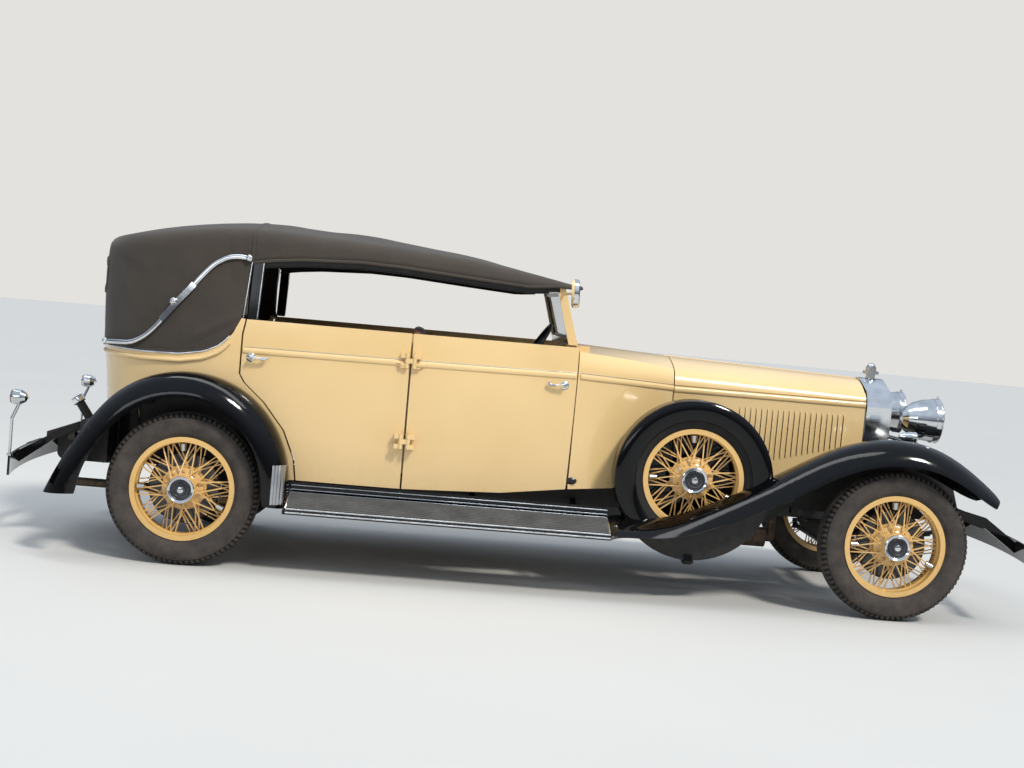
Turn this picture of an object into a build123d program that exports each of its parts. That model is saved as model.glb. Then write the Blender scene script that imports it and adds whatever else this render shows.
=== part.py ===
from build123d import *
import os
from math import atan2, cos, degrees, pi, radians, sin, sqrt

# Four-door open tourer with its cloth top raised, millimetres.
# +X forward, +Y to the car's left, +Z up. The origin is on the ground, midway between
# the bumper faces and between the two sides.

# Running gear
WHEELBASE = 3810
TRACK = 1486
REAR_AXLE_X = -1830
FRONT_AXLE_X = REAR_AXLE_X + WHEELBASE
WHEEL_Y = TRACK / 2
TYRE_RADIUS = 405
TYRE_WIDTH = 168
TREAD_WIDTH = 124
TREAD_DROP = 9
RIM_RADIUS = 274
BEAD_RADIUS = 257
WELL_RADIUS = 240
RIM_WALL = 10
RIM_WIDTH = 128
FLANGE_WALL = 6
SEAT_GAP = 0.3
HUB_RADIUS = 44
HUB_INNER = -62
HUB_OUTER = 66
INNER_FLANGE_RADIUS = 118
OUTER_FLANGE_RADIUS = 74
CAP_RADIUS = 72
CAP_DEPTH = 34
SPOKES_PER_ROW = 20
SPOKE_SIZE = 6.5
SPOKE_LEAD = 24
SPINDLE_RADIUS = 22
SPINDLE_REACH = 56
DRUM_RADIUS = 190
DRUM_WALL = 9
DRUM_INNER = -66
DRUM_OUTER = -18
BACK_PLATE = -75
BACK_PLATE_WALL = 5

# Steering
KINGPIN_Y = 620
KINGPIN_RADIUS = 13
KINGPIN_BOSS_RADIUS = 26
KINGPIN_BOSS_HEIGHT = 80
FORK_ARM = 24
FORK_GAP = 5
STEER_ARM_LENGTH = 200
STEER_ARM_Z = 330
TIE_ROD_RADIUS = 14
BALL_RADIUS = 17

# Chassis frame
RAIL_Y = 400
RAIL_WIDTH = 60
RAIL_BOTTOM = 430
RAIL_TOP = 560
KICK_BOTTOM = 635
KICK_TOP = 720
FRONT_RISE_BOTTOM = 535
FRONT_RISE_TOP = 620
FRONT_HORN_X = 2590
REAR_HORN_X = -2640
SPRING_WIDTH = 50
LEAF_THICKNESS = 8
FRONT_SPRING_HALF = 480
REAR_SPRING_HALF = 690
CAMBER_FRONT = 62
CAMBER_REAR = 80
FRONT_LEAVES = 5
REAR_LEAVES = 7
EYE_RADIUS = 18
EYE_PIN = 8

# Engine and drive line
ENGINE_FRONT_X = 1770
ENGINE_REAR_X = 1140
ENGINE_HALF = 150
ENGINE_TOP = 930
GEARBOX_REAR_X = 700
DRIVE_LINE_Z = 520

# Overall envelope
HALF_LENGTH = 2810
HALF_WIDTH = 905

# Body
BODY_BOTTOM = 484
SILL_Z = 1320
BELT_Z = 1182
BODY_FRONT_X = 210
WALL = 45
SHUT_GAP = 6
WING_WALL = 8
HINGE_LINE_X = -692
FLOOR_TOP = RAIL_TOP + 32
SCUTTLE_FRONT_X = 770
BONNET_FRONT_X = 1900
BONNET_WALL = 10


def face_of(*edges):
    """A flat face inside a closed chain of edges."""
    return make_face(Curve() + list(edges))


def polygon(points):
    return make_face(Polyline(*points, close=True))


def side_profile(points, y_low, y_high):
    """A plate whose outline is given in the XZ plane, between two Y values."""
    outline = make_face(Plane.XZ * Polyline(*points, close=True))
    return extrude(outline, amount=y_high - y_low, dir=(0, 1, 0)).moved(Location((0, y_low, 0)))


def cross_profile(points, x_low, x_high):
    """A bar whose outline is given in the YZ plane, between two X values."""
    outline = make_face(Plane.YZ * Polyline(*points, close=True))
    return extrude(outline, amount=x_high - x_low, dir=(1, 0, 0)).moved(Location((x_low, 0, 0)))


def plan_profile(points, z_low, z_high):
    """A prism whose outline is given in the XY plane, between two heights."""
    outline = make_face(Polyline(*points, close=True))
    return extrude(outline, amount=z_high - z_low).moved(Location((0, 0, z_low)))


def block(x_range, y_range, z_range):
    size = [high - low for low, high in (x_range, y_range, z_range)]
    middle = [(high + low) / 2 for low, high in (x_range, y_range, z_range)]
    return Pos(*middle) * Box(*size)


def rod(start, end, radius):
    """A round bar between two points."""
    a = Vector(*start)
    b = Vector(*end)
    plane = Plane(origin=a, z_dir=b - a)
    return extrude(plane * Circle(radius), amount=(b - a).length)


def square_bar(start, end, size):
    a = Vector(*start)
    b = Vector(*end)
    plane = Plane(origin=a, z_dir=b - a)
    return extrude(plane * Rectangle(size, size), amount=(b - a).length)


def turned(points):
    """A solid turned about the Y axis from (radius, y) points."""
    return revolve(polygon(points), axis=Axis.Y)


def turned_x(points):
    """A solid turned about the X axis from (x, radius) points."""
    return revolve(polygon(points), axis=Axis.X)


def mirrored(shape):
    return mirror(shape, about=Plane.XZ)


def both_sides(shape):
    """Two separate copies, one on each side of the car."""
    return Compound(children=[solid for solid in shape.solids()] + [solid for solid in mirrored(shape).solids()])


def at_wheel(shape, x, y, z=TYRE_RADIUS):
    """Places a piece made at the origin, outboard along +Y, at a wheel centre on either side."""
    side = shape if y > 0 else mirrored(shape)
    return side.moved(Location((x, y, z)))


# Wheels: made once at the origin, axle along Y, outboard face towards +Y

def make_tyre():
    half = TYRE_WIDTH / 2
    bead = RIM_WIDTH / 2 - FLANGE_WALL - SEAT_GAP
    shoulder = (TYRE_RADIUS - TREAD_DROP, TREAD_WIDTH / 2)
    widest = ((TYRE_RADIUS + RIM_RADIUS) / 2 + 4, half)
    foot = (RIM_RADIUS + 3, bead)
    heel = (BEAD_RADIUS + SEAT_GAP, bead)
    flip = lambda point: (point[0], -point[1])
    return revolve(
        face_of(
            ThreePointArc(flip(shoulder), (TYRE_RADIUS, 0), shoulder),
            ThreePointArc(shoulder, widest, foot),
            Line(foot, heel),
            Line(heel, flip(heel)),
            Line(flip(heel), flip(foot)),
            ThreePointArc(flip(foot), flip(widest), flip(shoulder)),
        ),
        axis=Axis.Y,
    )


def make_rim():
    edge = RIM_WIDTH / 2
    inner = BEAD_RADIUS - RIM_WALL
    step = edge * 0.45
    return turned([
        (RIM_RADIUS, edge),
        (RIM_RADIUS, edge - FLANGE_WALL),
        (BEAD_RADIUS, edge - FLANGE_WALL),
        (BEAD_RADIUS, FLANGE_WALL - edge),
        (RIM_RADIUS, FLANGE_WALL - edge),
        (RIM_RADIUS, -edge),
        (inner, -edge),
        (inner, -step),
        (WELL_RADIUS, -step * 0.7),
        (WELL_RADIUS, step * 0.7),
        (inner, step),
        (inner, edge),
    ])


def make_drum():
    """Brake drum, open inboard over the back plate."""
    bore = SPINDLE_RADIUS + SEAT_GAP
    return turned([
        (bore, DRUM_OUTER - DRUM_WALL),
        (DRUM_RADIUS - DRUM_WALL, DRUM_OUTER - DRUM_WALL),
        (DRUM_RADIUS - DRUM_WALL, DRUM_INNER),
        (DRUM_RADIUS, DRUM_INNER),
        (DRUM_RADIUS, DRUM_OUTER - DRUM_WALL),
        (DRUM_RADIUS - DRUM_WALL, DRUM_OUTER),
        (bore, DRUM_OUTER),
    ])


def make_hub():
    """The hub shell with its two spoke flanges and the hub cap."""
    bore = SPINDLE_RADIUS + SEAT_GAP
    face = HUB_OUTER + CAP_DEPTH
    return turned([
        (bore, HUB_INNER),
        (HUB_RADIUS, HUB_INNER),
        (HUB_RADIUS, DRUM_OUTER),
        (INNER_FLANGE_RADIUS, DRUM_OUTER),
        (INNER_FLANGE_RADIUS, DRUM_OUTER + 8),
        (HUB_RADIUS, DRUM_OUTER + 16),
        (HUB_RADIUS, HUB_OUTER - 12),
        (OUTER_FLANGE_RADIUS, HUB_OUTER - 8),
        (OUTER_FLANGE_RADIUS, HUB_OUTER),
        (CAP_RADIUS, HUB_OUTER),
        (CAP_RADIUS, HUB_OUTER + CAP_DEPTH * 0.35),
        (CAP_RADIUS * 0.86, HUB_OUTER + CAP_DEPTH * 0.7),
        (CAP_RADIUS * 0.5, HUB_OUTER + CAP_DEPTH * 0.9),
        (CAP_RADIUS * 0.42, face),
        (0, face),
        (0, SPINDLE_REACH + SEAT_GAP * 10),
        (bore, SPINDLE_REACH + SEAT_GAP * 10),
    ])


def make_spokes():
    """Three rows of crossed spokes; columns: hub radius, hub y, rim y, first angle."""
    rows = [
        (OUTER_FLANGE_RADIUS - 8, HUB_OUTER - 6, 10, 0),
        (INNER_FLANGE_RADIUS - 8, DRUM_OUTER + 5, -4, 6),
        (INNER_FLANGE_RADIUS - 16, DRUM_OUTER + 6, -16, 12),
    ]
    bars = []
    pitch = 360 / SPOKES_PER_ROW
    for hub_radius, hub_y, rim_y, first in rows:
        for index in range(SPOKES_PER_ROW):
            lead = SPOKE_LEAD if index % 2 else -SPOKE_LEAD
            inner = radians(first + pitch * index)
            outer = inner + radians(lead)
            side = SPOKE_SIZE * 0.7 if index % 2 else -SPOKE_SIZE * 0.7
            start = (hub_radius * sin(inner), hub_y + side * 0.2, hub_radius * cos(inner))
            reach = WELL_RADIUS + RIM_WALL / 2
            end = (reach * sin(outer), rim_y + side, reach * cos(outer))
            bars.append(square_bar(start, end, SPOKE_SIZE))
    return bars


def make_wheel():
    return (make_rim() + make_hub()).fuse(*make_spokes())


# Axles, springs and steering

def make_spindle(root_y):
    """The round stub that carries a hub, measured from the wheel's centre plane."""
    return rod((0, root_y, 0), (0, SPINDLE_REACH, 0), SPINDLE_RADIUS)


def make_back_plate():
    disc = rod((0, BACK_PLATE, 0), (0, BACK_PLATE + BACK_PLATE_WALL, 0), DRUM_RADIUS - 2)
    return disc


def make_knuckle():
    """Steering knuckle: kingpin, fork arms, spindle, brake back plate and steering arm."""
    pin_y = KINGPIN_Y - WHEEL_Y
    boss = KINGPIN_BOSS_HEIGHT / 2
    arm_low = boss + FORK_GAP
    arm_high = arm_low + FORK_ARM
    cheek_y = pin_y + KINGPIN_BOSS_RADIUS + FORK_GAP
    body = rod((0, pin_y, -arm_high), (0, pin_y, arm_high), KINGPIN_RADIUS)
    for low, high in ((arm_low, arm_high), (-arm_high, -arm_low)):
        body += rod((0, pin_y, low), (0, pin_y, high), KINGPIN_BOSS_RADIUS)
        body += block((-KINGPIN_BOSS_RADIUS, KINGPIN_BOSS_RADIUS), (pin_y, BACK_PLATE + 1), (low, high))
    body += block((-KINGPIN_BOSS_RADIUS, KINGPIN_BOSS_RADIUS), (cheek_y, BACK_PLATE + 1), (-arm_high, arm_high))
    body += make_back_plate()
    body += make_spindle(BACK_PLATE)
    drop = STEER_ARM_Z - TYRE_RADIUS
    arm_end = -STEER_ARM_LENGTH
    body += block((-KINGPIN_BOSS_RADIUS, KINGPIN_BOSS_RADIUS), (pin_y - 18, pin_y + 18), (drop - 10, -arm_low - 1))
    body += block((arm_end, 0), (pin_y - 12, pin_y + 12), (drop - 10, drop + 10))
    body += rod((arm_end, pin_y, drop - 10), (arm_end, pin_y, drop + 10), 20)
    body -= rod((arm_end, pin_y, drop - 20), (arm_end, pin_y, drop + 20), 8 + SEAT_GAP)
    return body


def make_tie_rod():
    """Cross rod behind the front axle, with a pin at each end up through the steering arms."""
    end_y = KINGPIN_Y
    x = FRONT_AXLE_X - STEER_ARM_LENGTH
    z = STEER_ARM_Z - 10 - FORK_GAP - BALL_RADIUS
    bar = rod((x, -end_y, z), (x, end_y, z), TIE_ROD_RADIUS)
    for y in (-end_y, end_y):
        bar += rod((x, y, z - BALL_RADIUS), (x, y, z + BALL_RADIUS), BALL_RADIUS)
        bar += rod((x, y, z), (x, y, STEER_ARM_Z + 9), 8)
    return bar


def make_front_axle():
    """Dropped beam with upturned ends, kingpin eyes and spring pads."""
    beam_low = TYRE_RADIUS - 78
    beam_high = TYRE_RADIUS - 18
    eye_low = TYRE_RADIUS - KINGPIN_BOSS_HEIGHT / 2
    eye_high = TYRE_RADIUS + KINGPIN_BOSS_HEIGHT / 2
    bend = KINGPIN_Y - 130
    end = KINGPIN_Y - 8
    half = cross_profile([
        (0, beam_low), (bend, beam_low), (end - 30, eye_low + 6), (end, eye_low + 6),
        (end, eye_high - 10), (end - 34, eye_high - 10), (bend - 12, beam_high), (0, beam_high),
    ], FRONT_AXLE_X - 26, FRONT_AXLE_X + 26)
    beam = half + mirrored(half)
    for y in (-KINGPIN_Y, KINGPIN_Y):
        beam += rod((FRONT_AXLE_X, y, eye_low), (FRONT_AXLE_X, y, eye_high), KINGPIN_BOSS_RADIUS)
        beam -= rod((FRONT_AXLE_X, y, eye_low - 5), (FRONT_AXLE_X, y, eye_high + 5), KINGPIN_RADIUS + SEAT_GAP)
        side = 1 if y > 0 else -1
        pad_y = side * RAIL_Y
        beam += block((FRONT_AXLE_X - 60, FRONT_AXLE_X + 60), (pad_y - 32, pad_y + 32), (beam_high - 12, beam_high))
    return beam


FRONT_PAD_Z = TYRE_RADIUS - 18
REAR_TUBE_RADIUS = 42
REAR_PAD_Z = TYRE_RADIUS + REAR_TUBE_RADIUS + 6


def make_rear_axle():
    """Axle tube, differential case, spring pads, back plates, spindles and the torque tube."""
    tube_end = WHEEL_Y + BACK_PLATE + 1
    axle = rod((REAR_AXLE_X, -tube_end, TYRE_RADIUS), (REAR_AXLE_X, tube_end, TYRE_RADIUS), REAR_TUBE_RADIUS)
    case = turned([(0, -150), (60, -140), (118, -70), (140, 0), (118, 70), (60, 140), (0, 150)])
    axle += case.moved(Location((REAR_AXLE_X, 0, TYRE_RADIUS)))
    run = GEARBOX_REAR_X - REAR_AXLE_X
    slope = degrees(atan2(DRIVE_LINE_Z - TYRE_RADIUS, run))
    tube = turned_x([(0, 0), (0, 100), (260, 60), (run + 60, 44), (run + 60, 0)])
    tube = tube.moved(Location((REAR_AXLE_X, 0, TYRE_RADIUS), (0, -slope, 0)))
    axle += tube - block((GEARBOX_REAR_X - SEAT_GAP, GEARBOX_REAR_X + 200), (-90, 90), (200, 900))
    for y in (-WHEEL_Y, WHEEL_Y):
        axle += at_wheel(make_back_plate() + make_spindle(BACK_PLATE), REAR_AXLE_X, y)
    for pad_y in (-RAIL_Y, RAIL_Y):
        axle += block((REAR_AXLE_X - 60, REAR_AXLE_X + 60), (pad_y - 32, pad_y + 32),
                      (TYRE_RADIUS, REAR_PAD_Z))
    return axle


def spring_radius(half, camber):
    return (half * half + camber * camber) / (2 * camber)


def spring_eye(half, camber, leaves):
    """Distance of an eye's centre from the spring's middle, along and up."""
    radius = spring_radius(half, camber)
    top = radius - LEAF_THICKNESS * (leaves - 0.5)
    swing = asin_of(half / radius)
    return top * sin(swing), radius - top * cos(swing) + EYE_RADIUS / 2


def leaf_pack(x, pad_z, half, camber, leaves):
    """One spring: stacked curved leaves, the longest on top with a rolled eye at each end."""
    radius = spring_radius(half, camber)
    pack = None
    for index in range(leaves):
        reach = half * (1 - 0.17 * (leaves - 1 - index))
        low = radius - LEAF_THICKNESS * index
        high = radius - LEAF_THICKNESS * (index + 1)
        swing = asin_of(reach / radius)
        outer = arc_points(low, swing, radius)
        inner = arc_points(high, swing, radius)
        leaf_face = face_of(
            ThreePointArc(*outer),
            Line(outer[2], inner[2]),
            ThreePointArc(inner[2], inner[1], inner[0]),
            Line(inner[0], outer[0]),
        )
        leaf = extrude(Plane.XZ * leaf_face, amount=SPRING_WIDTH / 2, both=True)
        pack = leaf if pack is None else pack + leaf
    eye_x, eye_z = spring_eye(half, camber, leaves)
    for end in (-eye_x, eye_x):
        pack += Pos(end, 0, eye_z) * Rot(90, 0, 0) * Cylinder(EYE_RADIUS, SPRING_WIDTH)
        pack -= Pos(end, 0, eye_z) * Rot(90, 0, 0) * Cylinder(EYE_PIN + SEAT_GAP, SPRING_WIDTH * 2)
    return pack.moved(Location((x, 0, pad_z)))


def asin_of(value):
    return atan2(value, sqrt(1 - value * value))


def arc_points(radius, swing, centre):
    """Left, middle and right points of an arc that hangs below its centre."""
    return [
        (-radius * sin(swing), centre - radius * cos(swing)),
        (0, centre - radius),
        (radius * sin(swing), centre - radius * cos(swing)),
    ]


def make_leaf_springs():
    """Four springs over the axle pads, under the frame rails."""
    springs = [
        leaf_pack(FRONT_AXLE_X, FRONT_PAD_Z + SEAT_GAP, FRONT_SPRING_HALF, CAMBER_FRONT, FRONT_LEAVES),
        leaf_pack(REAR_AXLE_X, REAR_PAD_Z + SEAT_GAP, REAR_SPRING_HALF, CAMBER_REAR, REAR_LEAVES),
    ]
    solids = []
    for spring in springs:
        for y in (-RAIL_Y, RAIL_Y):
            solids += spring.moved(Location((0, y, 0))).solids()
    return Compound(children=solids)


def spring_hangers():
    """Cheeks and a pin at each spring eye; columns: x, eye z, underside of the rail there."""
    front_x, front_z = spring_eye(FRONT_SPRING_HALF, CAMBER_FRONT, FRONT_LEAVES)
    rear_x, rear_z = spring_eye(REAR_SPRING_HALF, CAMBER_REAR, REAR_LEAVES)
    front_z += FRONT_PAD_Z + SEAT_GAP
    rear_z += REAR_PAD_Z + SEAT_GAP
    eyes = [
        (FRONT_AXLE_X + front_x, front_z, FRONT_RISE_BOTTOM),
        (FRONT_AXLE_X - front_x, front_z, FRONT_RISE_BOTTOM),
        (REAR_AXLE_X + rear_x, rear_z, KICK_BOTTOM),
        (REAR_AXLE_X - rear_x, rear_z, KICK_BOTTOM),
    ]
    parts = []
    for x, z, rail_z in eyes:
        for y in (-RAIL_Y, RAIL_Y):
            low = SPRING_WIDTH / 2 + SEAT_GAP
            high = RAIL_WIDTH / 2
            for side in ((y - high, y - low), (y + low, y + high)):
                parts.append(block((x - EYE_RADIUS, x + EYE_RADIUS), side, (z - EYE_RADIUS, rail_z + 12)))
            parts.append(rod((x, y - high, z), (x, y + high, z), EYE_PIN))
    return parts


def make_chassis_frame():
    """Two side rails kicked up over the axles, cross tubes and spring hangers."""
    half = RAIL_WIDTH / 2
    outline = [
        (REAR_HORN_X, 610), (-2440, 690), (-2250, KICK_TOP), (-1180, KICK_TOP), (-1000, RAIL_TOP),
        (1380, RAIL_TOP), (1500, FRONT_RISE_TOP), (2360, FRONT_RISE_TOP), (2500, 580),
        (FRONT_HORN_X, 535), (FRONT_HORN_X, 495), (2480, 527), (2360, FRONT_RISE_BOTTOM),
        (1480, FRONT_RISE_BOTTOM), (1360, RAIL_BOTTOM), (-930, RAIL_BOTTOM),
        (-1110, KICK_BOTTOM - 5), (-2250, KICK_BOTTOM), (-2460, KICK_BOTTOM - 6), (REAR_HORN_X, 570),
    ]
    frame = side_profile(outline, RAIL_Y - half, RAIL_Y + half)
    frame += side_profile(outline, -RAIL_Y - half, -RAIL_Y + half)
    cross_tubes = [(-2420, 655, 24), (-1350, 680, 26), (-820, 538, 18), (1850, 578, 26), (2410, 575, 24)]
    for x, z, radius in cross_tubes:
        frame += rod((x, -RAIL_Y, z), (x, RAIL_Y, z), radius)
    bearer_top = RADIATOR_HALF[0][1] - SEAT_GAP
    frame += block((RADIATOR_REAR_X + 20, RADIATOR_FRONT_X - 20), (-RAIL_Y, RAIL_Y), (bearer_top - 40, bearer_top))
    return frame.fuse(*spring_hangers())


def make_engine_block():
    """Engine as one plain block with its bearer arms, and the gearbox behind it."""
    block_low = 440
    engine = block((ENGINE_REAR_X, ENGINE_FRONT_X), (-ENGINE_HALF, ENGINE_HALF), (block_low, ENGINE_TOP))
    engine += block((GEARBOX_REAR_X, ENGINE_REAR_X), (-115, 115), (block_low, 640))
    for x, z in ((ENGINE_REAR_X + 30, RAIL_BOTTOM + 70), (ENGINE_FRONT_X - 50, FRONT_RISE_BOTTOM + 20)):
        reach = RAIL_Y - RAIL_WIDTH / 2 - SEAT_GAP
        engine += block((x - 20, x + 20), (-reach, reach), (z, z + 40))
    return engine


EXHAUST_Y = -230
EXHAUST_Z = 322
PIPE_RADIUS = 24


def make_exhaust():
    """Down pipe, expansion can, long pipe with its silencer, tail pipe and three hangers."""
    def along(x_low, x_high, radius):
        return rod((x_low, EXHAUST_Y, EXHAUST_Z), (x_high, EXHAUST_Y, EXHAUST_Z), radius)
    pipe = along(-2560, 1430, PIPE_RADIUS)
    pipe += along(1206, 1395, 56)
    pipe += along(-620, 180, 78)
    pipe += rod((1430, EXHAUST_Y, EXHAUST_Z), (1430, EXHAUST_Y, 640), PIPE_RADIUS)
    pipe += Pos(1430, EXHAUST_Y, EXHAUST_Z) * Sphere(PIPE_RADIUS)
    pipe += rod((1430, EXHAUST_Y, 640), (1430, -ENGINE_HALF - SEAT_GAP, 640), PIPE_RADIUS)
    pipe += Pos(1430, EXHAUST_Y, 640) * Sphere(PIPE_RADIUS)
    rail_face = -RAIL_Y + RAIL_WIDTH / 2 + SEAT_GAP
    for x, z in ((900, RAIL_BOTTOM + 10), (-760, RAIL_BOTTOM + 10), (-2230, KICK_BOTTOM + 10)):
        pipe += block((x - 10, x + 10), (EXHAUST_Y - 8, EXHAUST_Y + 8), (EXHAUST_Z, z + 10))
        pipe += block((x - 10, x + 10), (rail_face, EXHAUST_Y), (z, z + 10))
    return pipe


TANK_X = (-2600, -2280)
TANK_Z = (452, 606)
TANK_HALF = 335
FILLER_Y = 290


def make_fuel_tank():
    """Rounded tank slung under the rear cross tube, with a slanted filler neck and cap."""
    tank = block(TANK_X, (-TANK_HALF, TANK_HALF), TANK_Z)
    tank = fillet(tank.edges().filter_by(Axis.Y), 45)
    for y in (-200, 200):
        tank += block((-2440, -2400), (y - 20, y + 20), (TANK_Z[1] - 10, 655 - 24 - SEAT_GAP))
    neck_foot = (-2530, FILLER_Y, 570)
    neck_top = (-2636, FILLER_Y, 720)
    cap_top = (-2659, FILLER_Y, 752)
    tank += rod(neck_foot, neck_top, 26)
    tank += rod(neck_top, cap_top, 36)
    return tank


# Body shapes: level outlines, lofted upwards

FRONT_STATION_X = BODY_FRONT_X
MIDDLE_STATION_X = -850
QUARTER_STATION_X = -1880

# Columns: height, half width at the front, middle and quarter stations, tail x, tail half width
TUB_LEVELS = [
    (440, 598, 678, 638, -2328, 229),
    (860, 642, 724, 690, -2372, 250),
    (BELT_Z, 655, 735, 700, -2400, 265),
    (1370, 643, 720, 688, -2414, 265),
]
TOP_LEVELS = [
    (1080, 655, 735, 700, -2400, 265),
    (1340, 645, 720, 688, -2412, 265),
    (1640, 628, 690, 664, -2408, 275),
    (1880, 606, 660, 636, -2370, 275),
]


def circle_through(a, b, c):
    """Centre and radius of the circle through three points in a plane."""
    d = 2 * (a[0] * (b[1] - c[1]) + b[0] * (c[1] - a[1]) + c[0] * (a[1] - b[1]))
    sa = a[0] ** 2 + a[1] ** 2
    sb = b[0] ** 2 + b[1] ** 2
    sc = c[0] ** 2 + c[1] ** 2
    x = (sa * (b[1] - c[1]) + sb * (c[1] - a[1]) + sc * (a[1] - b[1])) / d
    y = (sa * (c[0] - b[0]) + sb * (a[0] - c[0]) + sc * (b[0] - a[0])) / d
    return (x, y), sqrt((a[0] - x) ** 2 + (a[1] - y) ** 2)


def level_row(levels, z, inset=0):
    """The row of a level table at any height, moved inwards by inset."""
    low, high = levels[0], levels[-1]
    for first, second in zip(levels, levels[1:]):
        if first[0] <= z <= second[0]:
            low, high = first, second
    share = (z - low[0]) / (high[0] - low[0])
    row = [a + (b - a) * share for a, b in zip(low, high)]
    return (z, row[1] - inset, row[2] - inset, row[3] - inset, row[4] + inset, row[5] - inset * 0.3)


def side_circle(row):
    front = (FRONT_STATION_X, row[1])
    middle = (MIDDLE_STATION_X, row[2])
    quarter = (QUARTER_STATION_X, row[3])
    return circle_through(front, middle, quarter)


def corner_circle(row):
    """The rear corner's circle: it leaves the side's circle smoothly and ends at the tail."""
    centre, radius = side_circle(row)
    start = (QUARTER_STATION_X, row[3])
    end = (row[4], row[5])
    inward = ((centre[0] - start[0]) / radius, (centre[1] - start[1]) / radius)
    chord = (end[0] - start[0], end[1] - start[1])
    size = (chord[0] ** 2 + chord[1] ** 2) / (2 * (chord[0] * inward[0] + chord[1] * inward[1]))
    return (start[0] + inward[0] * size, start[1] + inward[1] * size), size


def half_width(levels, x, z, inset=0):
    """The body's half width at any place along the side."""
    row = level_row(levels, z, inset)
    centre, radius = side_circle(row) if x >= QUARTER_STATION_X else corner_circle(row)
    return centre[1] + sqrt(max(radius ** 2 - (x - centre[0]) ** 2, 0))


def level_outline(levels, z, inset=0):
    """A closed outline at one height: front line, sides, rear corners and crowned tail."""
    row = level_row(levels, z, inset)
    front_x = FRONT_STATION_X
    start = (QUARTER_STATION_X, row[3])
    end = (row[4], row[5])
    centre, radius = corner_circle(row)
    middle_angle = (atan2(start[1] - centre[1], start[0] - centre[0])
                    + atan2(end[1] - centre[1], end[0] - centre[0])) / 2
    corner = (centre[0] + radius * cos(middle_angle), centre[1] + radius * sin(middle_angle))
    flip = lambda point: (point[0], -point[1])
    left = (front_x, row[1])
    middle = (MIDDLE_STATION_X, row[2])
    tail = (row[4] - 26, 0)
    outline = face_of(
        Line(flip(left), left),
        ThreePointArc(left, middle, start),
        ThreePointArc(start, corner, end),
        ThreePointArc(end, tail, flip(end)),
        ThreePointArc(flip(end), flip(corner), flip(start)),
        ThreePointArc(flip(start), flip(middle), flip(left)),
    )
    return outline.moved(Location((0, 0, z)))


def tub_solid(inset=0):
    """The whole body as one lump, its walls moved inwards by inset."""
    return loft([level_outline(TUB_LEVELS, row[0], inset) for row in TUB_LEVELS])


# Scuttle and bonnet sections, across the car
# Columns: x, bottom z, bottom half width, belt z, belt half width, shoulder z, shoulder half width, top z
NOSE_STATIONS = [
    (BODY_FRONT_X, 548, 610, BELT_Z, 655, 1296, 628, 1330),
    (490, 566, 516, 1168, 543, 1276, 490, 1318),
    (SCUTTLE_FRONT_X, 580, 380, 1153, 400, 1243, 335, 1304),
    (1330, 608, 328, 1150, 342.5, 1221, 284, 1286),
    (BONNET_FRONT_X, 640, 272, 1147, 284, 1198, 232, 1268),
]


def nose_section(row, inset=0, lift=0):
    x, low, low_half, belt, belt_half, shoulder, shoulder_half, top = row
    low_half -= inset
    belt_half -= inset
    shoulder_half -= inset * 0.8
    shoulder -= inset * 0.6
    top -= inset
    low -= lift
    bulge_y = (belt_half + shoulder_half) / 2 + (belt_half - shoulder_half) * 0.22
    bulge_z = (belt + shoulder) / 2 + (shoulder - belt) * 0.1
    flip = lambda point: (-point[0], point[1])
    foot = (low_half, low)
    waist = (belt_half, belt)
    bulge = (bulge_y, bulge_z)
    edge = (shoulder_half, shoulder)
    outline = face_of(
        Line(flip(foot), foot),
        Line(foot, waist),
        ThreePointArc(waist, bulge, edge),
        ThreePointArc(edge, (0, top), flip(edge)),
        ThreePointArc(flip(edge), flip(bulge), flip(waist)),
        Line(flip(waist), flip(foot)),
    )
    return (Plane.YZ * outline).moved(Location((x, 0, 0)))


def nose_row(x):
    """A row of the scuttle and bonnet table at any x."""
    for first, second in zip(NOSE_STATIONS, NOSE_STATIONS[1:]):
        if first[0] <= x <= second[0]:
            share = (x - first[0]) / (second[0] - first[0])
            return [a + (b - a) * share for a, b in zip(first, second)]
    return NOSE_STATIONS[-1]


SCUTTLE_ROWS = NOSE_STATIONS[:3]
BONNET_ROWS = NOSE_STATIONS[2:]
BONNET_GAP = 6
SCUTTLE_WALL = 25
TOE_X = 560


def scuttle_cavity(inset):
    """The room inside the scuttle's shell, open downwards, smaller by inset."""
    return loft([nose_section(row, SCUTTLE_WALL + inset, 40) for row in SCUTTLE_ROWS])


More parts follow.
